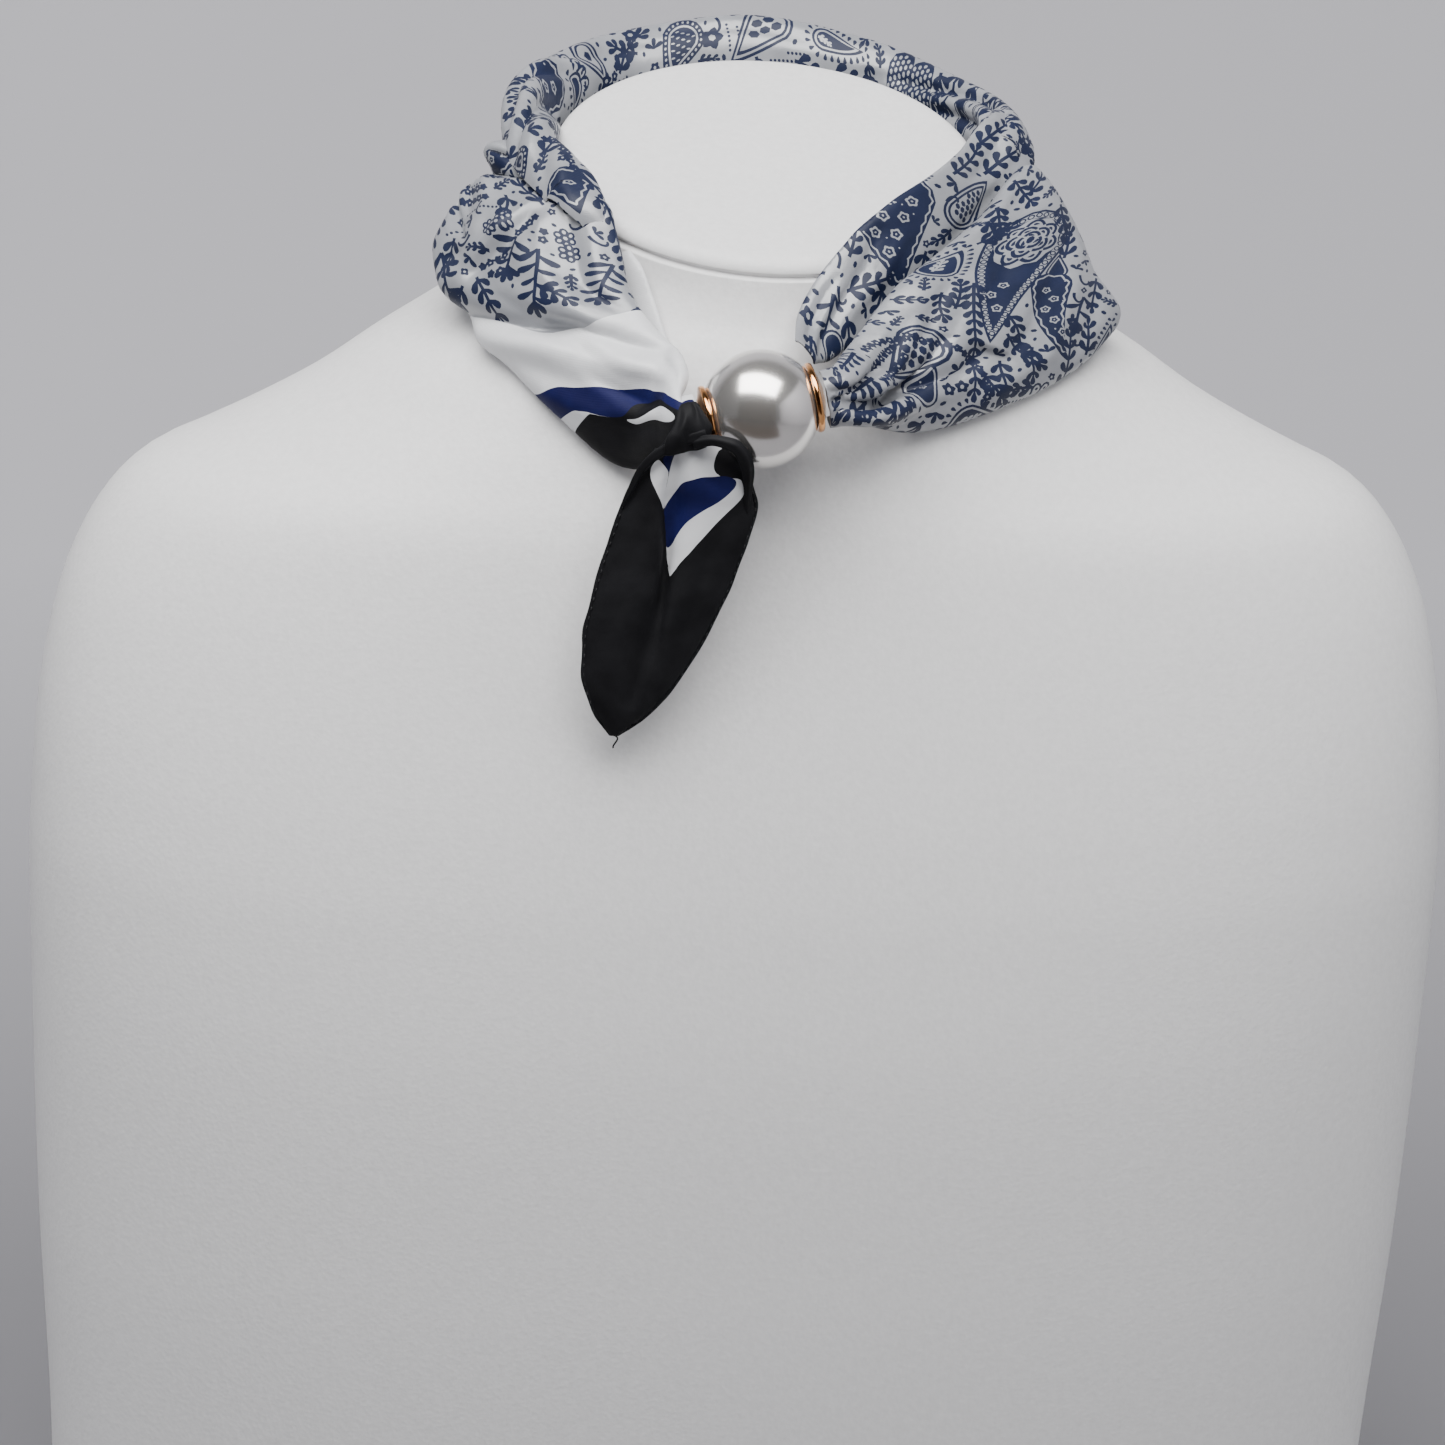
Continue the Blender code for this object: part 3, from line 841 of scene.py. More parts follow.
    def ringed(self) -> list[Patch]:
        """A small paisley with a dark band of light beads round a dark heart."""
        patches = [self.layer(Ink.NAVY, 0)]
        patches += [light(oval(point, 0.44, 0.36, 0.0, 6)) for point in self.border(1.0, 1.5)]
        patches += [self.layer(Ink.GROUND, 1.85), self.layer(Ink.NAVY, 2.45)]
        if self.radius > 3.5:
            for number, point in enumerate(self.lattice(2.9, 1.8, 1.7)):
                patches.append(light(oval(point, 0.62, 0.26, 0.8 + 0.2 * (number % 3), 6)))
        return patches

    def scaled(self, cell: float) -> list[Patch]:
        """A double-outlined paisley filled with dark cells of this length."""
        line = 1.15 if self.radius > 7 else 0.85
        patches = [self.layer(Ink.NAVY, 0), self.layer(Ink.GROUND, line)]
        inner = line + 0.5
        if self.radius > 4:
            patches += [self.layer(Ink.NAVY, line + 0.6), self.layer(Ink.GROUND, line + 1.4)]
            inner = line + 1.6
        for number, point in enumerate(self.lattice(inner + cell * 0.2, cell * 0.98, cell * 0.86)):
            patches.append(navy(oval(point, cell * 0.53, cell * 0.37, 0.35 + 0.25 * (number % 3), 6)))
        return patches

    def rayed(self) -> list[Patch]:
        """A dark paisley with a light sprig in it, in a ring with short rays round it."""
        loop = self.border(-0.55, 1.9)
        patches = []
        for point, after in zip(loop, np.roll(loop, -1)):
            patches.append(navy(leaf(point, 1.7, 1.15, float(np.angle((after - point) * -1j)))))
        patches += [self.layer(Ink.NAVY, 0), self.layer(Ink.GROUND, 0.75), self.layer(Ink.NAVY, 1.35)]
        if self.radius > 3.5:
            for patch in sprig(self.radius * 1.3, 0.5, 3):
                patches.append(light(patch.outline * 0.72 - self.radius * 0.5))
        return patches

    def drop(self) -> list[Patch]:
        """A plain dark drop with a light line inside."""
        return [self.layer(Ink.NAVY, 0)] + self.wavy(0.8, 0.9, 0.0, 0.4)


def scallops(size: float, bend: float) -> list[Patch]:
    """A looped line, like the edge of a cloud, with a dot in each loop."""
    patches = []
    width = 3.2
    angle = np.linspace(math.pi + 0.5, -0.5, 9)
    for point, heading in walk(width, bend, max(3, int(size / width))):
        loop = point + np.exp(1j * heading) * (1.6 + 1.6 * np.cos(angle) + 2.2j * np.sin(angle))
        patches += ribbon(Ink.NAVY, loop, 0.72)
        patches.append(navy(oval(point + np.exp(1j * heading) * (1.6 + 0.6j), 0.6, 0.5, 0.0, 6)))
    return patches


def mesh_fill(size: float, bend: float) -> list[Patch]:
    """A dark band of light cells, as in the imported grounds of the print."""
    patches = [navy(oval(size / 2 + 0j, size / 2, size * 0.28, 0.0, 14))]
    for row in range(-3, 4):
        for number in range(int(size / 1.9) + 1):
            point = complex(number * 1.9 + 0.95 * (row % 2) + 0.6, row * 1.5)
            across = (point.real - size / 2) / (size / 2 - 0.6)
            if abs(across) < 1 and abs(point.imag) < size * 0.28 * math.sqrt(1 - across**2) - 0.7:
                patches.append(light(oval(point, 0.72, 0.52, bend, 6)))
    return patches


def motif(spot: Spot) -> list[Patch]:
    """The patches of one motif at its place on the flat cloth.

    Args:
        spot: Which motif, where, how large and how turned.

    Returns:
        The patches.
    """
    size, bend, reach = spot.size, math.radians(spot.bend), spot.reach

    def paisley(usual: float) -> Teardrop:
        """The motif's teardrop, its tip this many radii away unless it has its own reach."""
        return Teardrop(size, reach or size * usual, bend)

    makers = {
        "sprig": lambda: sprig(size * 1.15, bend, 3 if size < 9.5 else 4),
        "branch": lambda: sprig(size, bend, max(3, round(size / 3.7))),
        "coral": lambda: coral(size, bend),
        "flower": lambda: flower(size * 1.2),
        "open_flower": lambda: open_flower(size * 1.3),
        "curl": lambda: curl(size, bend or 1.5),
        "pips": lambda: pips(size, bend, max(2, round(size / 2.5))),
        "dots": lambda: dots(size, bend, max(2, round(size / 1.3))),
        "solid": lambda: paisley(2.9).solid(),
        "beaded": lambda: paisley(2.7).beaded(),
        "scaled": lambda: paisley(2.5).scaled(2.1),
        "celled": lambda: paisley(2.5).scaled(3.4),
        "ringed": lambda: paisley(2.5).ringed(),
        "drop": lambda: paisley(2.4).drop(),
        "rayed": lambda: paisley(2.2).rayed(),
        "scallops": lambda: scallops(size, bend),
        "packed": lambda: mesh_fill(size, bend),
    }
    place = complex(spot.along, spot.around)
    return moved(makers[spot.kind](), place, np.exp(1j * math.radians(spot.turn)))


def fill_gaps(patches: Sequence[Patch], field_area: np.ndarray, seed: int) -> list[Patch]:
    """Small leaves, sprigs and dots for the open ground between the placed motifs.

    Args:
        patches: The placed motifs.
        field_area: The outline of the printed field, as complex points.
        seed: What the places are shuffled by.

    Returns:
        The added patches.
    """
    chance = np.random.default_rng(seed)
    corners = np.concatenate([patch.outline for patch in patches])
    broad = [patch.outline for patch in patches if np.abs(patch.outline - patch.outline.mean()).max() > 2.4]
    rows, columns = field_area.real, field_area.imag
    added: list[Patch] = []
    taken: list[tuple[complex, float]] = []
    for spacing, least in ((5.2, 2.7), (3.6, 1.9), (2.6, 1.5)):
        for row, along in enumerate(np.arange(rows.min(), rows.max(), spacing)):
            for around in np.arange(columns.min(), columns.max(), spacing):
                shift = chance.uniform(-0.22, 0.22, 2) * spacing
                point = complex(along + shift[0], around + spacing / 2 * (row % 2) + shift[1])
                turn = chance.uniform(0, 2 * math.pi)
                if not inside(point, field_area) or any(inside(point, loop) for loop in broad):
                    continue
                room = float(np.abs(corners - point).min())
                for centre, radius in taken:
                    room = min(room, abs(centre - point) - radius)
                if room < least:
                    continue
                room = min(room, 4.4)
                if least > 2.5:
                    made, back = sprig(room * 1.7, chance.uniform(-0.7, 0.7), 3), 0.85
                elif least <= 1.5:
                    made, back = [navy(oval(0j, room * 0.5, room * 0.32, 0.0, 6))], 0.0
                elif chance.uniform() < 0.4:
                    made, back = flower(room * 0.62, 4 + int(chance.integers(2))), 0.0
                else:
                    leaves = [leaf(0j, room * 1.2, room * 0.56, side, side * 0.2) for side in (-0.9, 0.0, 0.9)]
                    made, back = [navy(outline) for outline in leaves], 0.5
                turned = np.exp(1j * turn)
                taken.append((point, room * 0.85))
                added += moved(moved(made, point, turned), -back * room * turned)
    return added


def boundary_loop(faces: Sequence[Sequence[int]]) -> list[int]:
    """The longest loop of vertices round a flat set of faces."""
    after: dict[int, int] = {}
    edges = {(face[i], face[(i + 1) % len(face)]) for face in faces for i in range(len(face))}
    for start, end in edges:
        if (end, start) not in edges:
            after[start] = end
    best: list[int] = []
    while after:
        first = next(iter(after))
        loop = [first]
        spot = after.pop(first)
        while spot != first and spot in after:
            loop.append(spot)
            spot = after.pop(spot)
        best = loop if len(loop) > len(best) else best
    return best


def imprint(
    name: str, stretch: Stretch, patches: Sequence[Patch], wall: float, reverse: Sequence[Patch] = (),
    pitch: float = 1.25,
) -> bpy.types.Mesh:
    """A thin closed shell of cloth with a print worked into its outer face.

    Args:
        name: The mesh's name.
        stretch: The draped surface.
        patches: The print, lowest first, on the flat cloth.
        wall: The cloth's thickness in millimetres.
        reverse: The bands of colour that show on the back too.
        pitch: How far apart the points that carry the drape are.

    Returns:
        The mesh in metres, with one material slot for each ink.
    """
    outline = stretch.outline()
    low, high = outline.min(axis=0), outline.max(axis=0)
    across = np.arange(low[0] + pitch / 2, high[0], pitch)
    round_about = np.arange(low[1] + pitch / 2, high[1], pitch)
    loose = np.array([(u, v + pitch / 2 * (i % 2)) for i, u in enumerate(across) for v in round_about])
    kept = [
        patch for patch in patches
        if low[0] - 9 < patch.outline.real.mean() < high[0] + 9
        and low[1] - 9 < patch.outline.imag.mean() < high[1] + 9
    ]
    inner = [Vector(p) for p in loose]
    points = [Vector(p) for p in outline] + inner
    faces = [list(range(len(outline)))]
    for patch in kept:
        corners = range(len(points), len(points) + len(patch.outline))
        points += [Vector((z.real, z.imag)) for z in patch.outline]
        area = (patch.outline.conj() * np.roll(patch.outline, -1)).imag.sum()
        faces.append(list(corners) if area > 0 else list(corners)[::-1])
    flat, _, found, _, _, origins = delaunay_2d_cdt(points, [], faces, 1, 1e-5, True)
    top = [(tuple(f), max(o)) for f, o in zip(found, origins) if 0 in o]
    loop = boundary_loop([f for f, _ in top])
    rim = [flat[number] for number in loop]
    under, _, under_faces, under_from, _, under_origins = delaunay_2d_cdt(
        rim + inner, [], [list(range(len(rim)))], 1, 1e-5, True
    )
    upper, upper_normals = stretch.place(np.array([tuple(v) for v in flat]))
    lower, lower_normals = stretch.place(np.array([tuple(v) for v in under]))
    places = np.concatenate((upper + upper_normals * wall / 2, lower - lower_normals * wall / 2))
    normals = np.concatenate((upper_normals, -lower_normals))
    base = len(upper)
    rim_under = {origin: number for number, found_from in enumerate(under_from) for origin in found_from}
    polygons = [face for face, _ in top]
    slots = [kept[number - 1].ink.value if number else 0 for _, number in top]
    slot_at = {corner: ink for (face, _), ink in zip(top, slots) for corner in face}
    for face, origin in zip(under_faces, under_origins):
        if 0 in origin:
            polygons.append(tuple(base + number for number in reversed(face)))
            middle = sum(complex(*under[number]) for number in face) / len(face)
            slots.append(([0] + [band.ink.value for band in reverse if inside(middle, band.outline)])[-1])
    for index, here in enumerate(loop):
        after = loop[(index + 1) % len(loop)]
        below, below_after = rim_under.get(index), rim_under.get((index + 1) % len(loop))
        if below is not None and below_after is not None:
            polygons.append((after, here, base + below, base + below_after))
            slots.append(slot_at[here])
    mesh = bpy.data.meshes.new(name)
    placed = (places + (0, CENTRING_Y, 0)) * MM
    mesh.from_pydata(placed.tolist(), [], polygons)
    if flips_inward(placed, polygons[0], normals):
        mesh.flip_normals()
    mesh.polygons.foreach_set("material_index", slots)
    uv = np.array([tuple(v) for v in flat + under])
    layer = mesh.uv_layers.new(name="Cloth")
    corners = np.empty(len(mesh.loops), int)
    mesh.loops.foreach_get("vertex_index", corners)
    layer.data.foreach_set("uv", (uv[corners] / UV_SPAN).ravel())
    mesh.shade_smooth()
    mesh.normals_split_custom_set_from_vertices(normals.tolist())
    mesh.update()
    return mesh


def flips_inward(points: np.ndarray, face: Sequence[int], normals: np.ndarray) -> bool:
    """Whether a face turns away from its points' normals."""
    a, b, c = (points[number] for number in face[:3])
    return float(np.dot(np.cross(b - a, c - a), normals[face[0]])) < 0


# ---- Finishes ----


class Shader:
    """Adds and links nodes in one Principled material."""

    def __init__(self, name: str, **values: object) -> None:
        """Makes the material and sets its shader's sockets by name, with _ for a space."""
        self.material = bpy.data.materials.new(name)
        self.material.use_nodes = True
        self.tree = self.material.node_tree
        self.shader = self.tree.nodes["Principled BSDF"]
        for socket, value in values.items():
            self.shader.inputs[socket.replace("_", " ")].default_value = value

    def add(self, kind: str, **values: object) -> bpy.types.Node:
        """Adds a node and sets its properties and sockets.

        Args:
            kind: The node's type.
            **values: Properties, or sockets by name with _ for a space.

        Returns:
            The node.
        """
        node = self.tree.nodes.new(kind)
        for key, value in values.items():
            if hasattr(node, key):
                setattr(node, key, value)
            else:
                node.inputs[key.replace("_", " ")].default_value = value
        return node

    def link(self, source: bpy.types.NodeSocket, target: bpy.types.NodeSocket) -> None:
        """Links two sockets."""
        self.tree.links.new(source, target)

    def place(self, flat: bool = False) -> bpy.types.NodeSocket:
        """Object coordinates in metres, or the cloth's own flat ones."""
        if flat:
            return self.add("ShaderNodeUVMap", uv_map="Cloth").outputs["UV"]
        return self.add("ShaderNodeTexCoord").outputs["Object"]

    def noise(self, where: bpy.types.NodeSocket, scale: float, detail: float = 2.0) -> bpy.types.NodeSocket:
        """A noise value at a scale."""
        node = self.add("ShaderNodeTexNoise", Scale=scale, Detail=detail)
        self.link(where, node.inputs["Vector"])
        return node.outputs["Fac"]

    def ramp(self, value: bpy.types.NodeSocket, *stops: tuple) -> bpy.types.NodeSocket:
        """Colours a value with (place, colour) stops."""
        node = self.add("ShaderNodeValToRGB")
        for number, (place, colour) in enumerate(stops):
            stop = node.color_ramp.elements[number] if number < 2 else node.color_ramp.elements.new(place)
            stop.position = place
            stop.color = (*colour, 1.0)
        self.link(value, node.inputs["Fac"])
        return node.outputs["Color"]

    def mottle(self, fac: bpy.types.NodeSocket, spread: float, deep: tuple, shade: tuple) -> None:
        """Colours the surface in two close shades by a value about a half."""
        colour = self.ramp(fac, (0.5 - spread, deep), (0.5 + spread, shade))
        self.link(colour, self.shader.inputs["Base Color"])

    def bump(self, *layers: tuple) -> None:
        """Raises the surface by (height socket, distance in metres, strength) layers."""
        before = None
        for height, distance, strength in layers:
            node = self.add("ShaderNodeBump", Distance=distance, Strength=strength)
            self.link(height, node.inputs["Height"])
            if before is not None:
                self.link(before, node.inputs["Normal"])
            before = node.outputs["Normal"]
        self.link(before, self.shader.inputs["Normal"])


@dataclass(frozen=True)
class SatinCloth:
    """Fine polyester satin in one ink: two close shades, a soft sheen and small puckers."""

    name: str
    shade: tuple
    deep: tuple
    roughness: float = 0.5
    sheen: float = 0.25
    gloss: float = 0.4

    def build(self) -> bpy.types.Material:
        """Builds the material."""
        satin = Shader(
            self.name, Roughness=self.roughness, Sheen_Weight=self.sheen, Sheen_Roughness=0.4,
            Specular_IOR_Level=self.gloss,
        )
        flat = satin.place(flat=True)
        satin.mottle(satin.noise(flat, 9.0, 5.0), 0.15, self.deep, self.shade)
        twill = satin.add("ShaderNodeTexWave", bands_direction="DIAGONAL", Scale=80.0, Distortion=0.6)
        satin.link(flat, twill.inputs["Vector"])
        satin.bump(
            (twill.outputs["Fac"], 0.00003, 0.35),
            (satin.noise(flat, 22.0, 3.0), 0.0006, 0.22),
            (satin.noise(flat, 110.0, 2.0), 0.0001, 0.3),
        )
        return satin.material


@dataclass(frozen=True)
class Leatherette:
    """Pale grey-white leatherette with a fine pebble grain."""

    name: str = "leatherette"
    shade: tuple = (0.74, 0.735, 0.74)
    valley: tuple = (0.69, 0.685, 0.69)

    def build(self) -> bpy.types.Material:
        """Builds the material."""
        hide = Shader(self.name, Roughness=0.5, Specular_IOR_Level=0.35)
        where = hide.place()
        pebbles = hide.add("ShaderNodeTexVoronoi", Scale=760.0, Randomness=1.0)
        hide.link(where, pebbles.inputs["Vector"])
        hide.mottle(hide.noise(where, 520.0, 3.0), 0.2, self.valley, self.shade)
        hide.bump(
            (hide.noise(where, 60.0, 3.0), 0.0005, 0.12),
            (pebbles.outputs["Distance"], 0.00012, 0.35),
            (hide.noise(where, 900.0, 2.0), 0.0001, 0.3),
        )
        return hide.material


@dataclass(frozen=True)
class PearlCoat:
    """A warm grey-white pearl coat under a clear gloss."""

    name: str = "pearl_coat"
    shade: tuple = (0.8, 0.775, 0.75)
    deep: tuple = (0.76, 0.735, 0.705)

    def build(self) -> bpy.types.Material:
        """Builds the material."""
        pearl = Shader(
            self.name, Roughness=0.2, Metallic=0.9, Coat_Weight=0.8, Coat_Roughness=0.05, Coat_IOR=1.6,
        )
        pearl.mottle(pearl.noise(pearl.place(), 60.0, 3.0), 0.15, self.deep, self.shade)
        return pearl.material


@dataclass(frozen=True)
class RoseGold:
    """Polished rose-gold plating with the faintest turning marks."""

    name: str = "rose_gold"
    shade: tuple = (0.87, 0.45, 0.19)
    deep: tuple = (0.72, 0.33, 0.12)

    def build(self) -> bpy.types.Material:
        """Builds the material."""
        gold = Shader(self.name, Metallic=1.0, Roughness=0.12)
        where = gold.place()
        gold.mottle(gold.noise(where, 300.0, 2.0), 0.15, self.deep, self.shade)
        gold.bump((gold.noise(where, 1600.0, 1.0), 0.00002, 0.2))
        return gold.material


@dataclass(frozen=True)
class Paper:
    """The pale floor and backdrop, with painted shade that darkens them towards the floor, clear when seen from
    behind.
    """

    name: str = "backdrop_paper_painted_shade"
    shade: tuple = (0.47, 0.465, 0.495)

    def build(self) -> bpy.types.Material:
        """Builds the material."""
        paper = Shader(self.name, Roughness=0.9, Specular_IOR_Level=0.1)
        where = paper.place()
        height = paper.add("ShaderNodeSeparateXYZ")
        paper.link(where, height.inputs["Vector"])
        # Painted shade: the paper is half its colour at the floor, 0.9 of it at 0.14 m up, and full from 0.5 m up.
        low = tuple(value * 0.5 for value in self.shade)
        middle = tuple(value * 0.9 for value in self.shade)
        colour = paper.ramp(height.outputs["Z"], (0.0, low), (0.14, middle), (0.5, self.shade))
        paper.link(colour, paper.shader.inputs["Base Color"])
        either = paper.add("ShaderNodeMixShader")
        clear = paper.add("ShaderNodeBsdfTransparent")
        paper.link(paper.add("ShaderNodeNewGeometry").outputs["Backfacing"], either.inputs["Fac"])
        paper.link(paper.shader.outputs["BSDF"], either.inputs[1])
        paper.link(clear.outputs["BSDF"], either.inputs[2])
        paper.link(either.outputs["Shader"], paper.tree.nodes["Material Output"].inputs["Surface"])
        return paper.material


# ---- The bust ----


@dataclass
class DisplayBust:
    """The limbless display bust: neck and shoulders in one body, with a rolled rim on its neck."""

    rows: Sequence[tuple]
    levels: int = 120
    sides: int = 176

    def rings(self, lip: bool) -> np.ndarray:
        """Rings of points from the base to the top of the neck.

        Args:
            lip: Whether the rim has its crease and roll, or only its round edge.

        Returns:
            The rings in millimetres.
        """
        table = np.array(self.rows)
        total = table[-1, 0]
        heights = total * (1 - (1 - np.linspace(0, 1, self.levels)) ** 1.6)
        columns = [hermite(table[:, 0], column, heights) for column in table.T[1:]]
        levels = [BustRow(height, *values) for height, *values in zip(heights, *columns)]
        top = BustRow(*self.rows[-1])
        if not lip:
            rings = [ring_points(row, self.sides) for row in levels]
            rings += [
                ring_points(top._replace(height=total + 2.5 * math.sin(turn)), self.sides, 2.5 - 2.5 * math.cos(turn))
                for turn in (0.5, 1.0, 1.57)
            ]
            return np.array(rings)
        rings = [ring_points(row, self.sides) for row in levels if row.height < total - 3.4]
        for height, inset in ((-3.0, 0.05), (-2.5, 0.5), (-2.2, 0.95), (-1.9, 0.95), (-1.6, 0.45), (-1.0, -0.1)):
            rings.append(ring_points(top._replace(height=total + height), self.sides, inset))
        for turn in np.linspace(0.0, 1.5, 7):
            row = top._replace(height=total - 0.6 + 3.1 * math.sin(turn))
            rings.append(ring_points(row, self.sides, 3.1 - 3.25 * math.cos(turn)))
        for inset, drop in ((6.0, 0.0), (12.0, 0.05), (24.0, 0.1), (38.0, 0.1), (48.0, 0.1)):
            rings.append(ring_points(top._replace(height=total + 2.5 - drop), self.sides, inset))
        return np.array(rings)

    def surface(self) -> BustSurface:
        """The bust's shape for laying cloth on."""
        return BustSurface(self.rings(False))

    def build(self, leatherette: bpy.types.Material) -> bpy.types.Object:
        """Builds the bust.

        Args:
            leatherette: Its cover.

        Returns:
            The bust.
        """
        made = new_object("bust_body", closed_mesh("bust_body", self.rings(True)), leatherette)
        dress(made, "display_bust")
        return made


# ---- The cloth ----


@dataclass
class ClothPiece:
    """One stretch of the scarf: its surface, its print and the solid it stands for."""

    name: str
    node: str
    stretch: Stretch
    print_rows: Sequence[tuple]
    bands: Sequence[tuple]
    held: str
    field_corners: Sequence[tuple] = ()
    slot: str = "printed_cloth"
    wall: float = 0.55
    clearance: float = 0.6

    def patches(self) -> list[Patch]:
        """The piece's print: its motifs, small leaves between them, then its bands of colour."""
        found = [patch for row in self.print_rows for patch in motif(Spot(*row))]
        if self.field_corners:
            area = np.array([complex(*corner) for corner in self.field_corners])
            found += fill_gaps(found, area, len(self.name))
        return found + self.band_patches()

    def band_patches(self) -> list[Patch]:
        """The bands of colour."""
        found = []
        for ink, corners in self.bands:
            outline = np.array([complex(*corner) for corner in corners])
            for _ in range(2 if len(outline) > 4 else 0):
                after = np.roll(outline, -1)
                outline = np.stack((outline * 0.75 + after * 0.25, outline * 0.25 + after * 0.75), axis=1).ravel()
            found.append(Patch(ink, outline))
        return found

    def build(self, bust: BustSurface, inks: Sequence[bpy.types.Material]) -> bpy.types.Object:
        """Builds the piece.

        Args:
            bust: What it lies on.
            inks: The cloth in each of its inks.

        Returns:
            The piece.
        """
        self.stretch.build(bust, self.clearance)
        mesh = imprint(self.name, self.stretch, self.patches(), self.wall, self.band_patches())
        made = new_object(self.name, mesh, *inks)
        dress(made, self.node)
        return made

    def declare(self, made: bpy.types.Object, rests_on: Sequence[str], with_pieces: Sequence = ()) -> None:
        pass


# ---- Knot, hems and stitches ----


@dataclass
class Knot:
    """The black turn of cloth beside the left ring and the two hems that leave it."""

    left: Sequence[tuple]
    right: Sequence[tuple]
    place: float = -20.6
    width: float = 10.5
    thickness: float = 2.6
    radius: float = 9.6
    turns: tuple = (50.0, -24.0)
    flatness: float = 0.65

    def band(self, steps: int = 44, sides: int = 56) -> np.ndarray:
        """Rings of points of the turn of cloth, with soft ridges along it."""
        grid = np.empty((steps, sides, 3))
        for step in range(steps):
            share = step / (steps - 1)
            turn = math.radians(self.turns[0] + (self.turns[1] - self.turns[0]) * share)
            swell = math.sin(math.pi * (0.1 + 0.76 * share))
            half = self.width / 2 * (0.28 + 0.8 * min(1.0, share * 1.7) ** 0.8)
            middle = self.place + 2.2 - 2.4 * share + 0.5 * math.sin(5 * share)
            for side in range(sides):
                angle = 2 * math.pi * side / sides
                across = math.copysign(abs(math.cos(angle)) ** 0.85, math.cos(angle))
                rise = math.copysign(abs(math.sin(angle)) ** 0.85, math.sin(angle))
                pleat = 0.5 * math.cos(across * 4.6 + 2.6 * share + 0.6) + 0.22 * math.cos(across * 9.5 - 5.0 * share)
                radius = self.radius + (self.thickness / 2 + pleat * max(0.0, rise)) * rise * swell
                along = middle + half * across + 0.3 * math.sin(9 * share + 2 * across)
                grid[step, side] = on_clasp(along, radius * math.sin(turn), radius * math.cos(turn))
        return grid

    def strap(self, table: Sequence[tuple], ridges: int) -> np.ndarray:
        """Rings of points of one hem, with lines pressed along it."""
        values, _ = section_curve(table, 60)
        rings = tube_points(values[:, :3], values[:, 3], 40, self.flatness)
        turn = 2 * math.pi * np.arange(40) / 40
        twist = np.linspace(0, 1.6, 60)[:, None]
        scale = 1 - 0.16 * (1 + np.cos(turn[None, :] * ridges + twist)) / 2
        return values[:, None, :3] + (rings - values[:, None, :3]) * scale[:, :, None]

    def build(self, cloth: bpy.types.Material) -> bpy.types.Object:
        """Builds the knot as one piece.

        Args:
            cloth: The black cloth.

        Returns:
            The knot.
        """
        grids = (self.band(), self.strap(self.left, 4), self.strap(self.right, 5))
        made = new_object("knot_cloth", joined_mesh("knot_cloth", grids, 6), cloth)
        dress(made, "scarf_knot")
        return made


@dataclass
class TailHem:
    """The rolled hem round the hanging corner, its stitches and the thread end at its tip."""

    tail: Stretch
    radius: float = 0.75
    stitch_spacing: float = 2.4
    stitch_length: float = 0.8
    stitch_radius: float = 0.13

    def build(self, cloth: bpy.types.Material, thread: bpy.types.Material) -> list[bpy.types.Object]:
        """Builds the hem, the thread end and the stitches.

        Args:
            cloth: The black cloth.
            thread: The sewing thread.

        Returns:
            The pieces.
        """
        grids = []
        for column in (0, -1):
            path = self.tail.points[8:, column]
            share = np.linspace(0, 1, len(path))
            radii = self.radius * (1 + 0.12 * np.sin(share * 41 + column)) * np.minimum(1, (1.04 - share) * 9)
            grids.append(tube_points(path, radii, 14, 0.9))
        tip = self.tail.points[-1].mean(axis=0)
        part = np.linspace(0, 1, 12)[:, None]
        thread_path = tip + part * (0.5, -0.6, -3.0) + np.sin(part * 5) * (0.7, 0.1, 0.2)
        grids.append(tube_points(thread_path, np.full(12, 0.22), 8, 1.0))
        hem = new_object("tail_hem", joined_mesh("tail_hem", grids, 0), cloth)
        stitches = self.stitches(thread)
        for piece in (hem, stitches):
            dress(piece)
        return [hem, stitches]

    def stitches(self, thread: bpy.types.Material) -> bpy.types.Object:
        """The row of small stitches inside each hem, made by Geometry Nodes."""
        points, edges = [], []
        for column, inward in ((0, 3), (-1, -4)):
            path = self.tail.points[8:-4, inward] + self.tail.normals[8:-4, inward] * 0.42
            start = len(points)
            points += ((path + (0, CENTRING_Y, 0)) * MM).tolist()
            edges += [(start + i, start + i + 1) for i in range(len(path) - 1)]
        mesh = bpy.data.meshes.new("stitch_paths")
        mesh.from_pydata(points, edges, [])
        paths = new_object("stitch_paths", mesh)
        modifier = paths.modifiers.new("stitches", "NODES")
        modifier.node_group = stitch_tree(thread)
        sizes = {
            "Spacing": self.stitch_spacing * MM,
            "Length": self.stitch_length * MM,
            "Radius": self.stitch_radius * MM,
        }
        for item in modifier.node_group.interface.items_tree:
            if item.name in sizes:
                modifier[item.identifier] = sizes[item.name]
        graph = bpy.context.evaluated_depsgraph_get()
        made = bpy.data.meshes.new_from_object(paths.evaluated_get(graph))
        paths.modifiers.remove(modifier)
        bpy.data.objects.remove(paths, do_unlink=True)
        return new_object("hem_stitches", made)


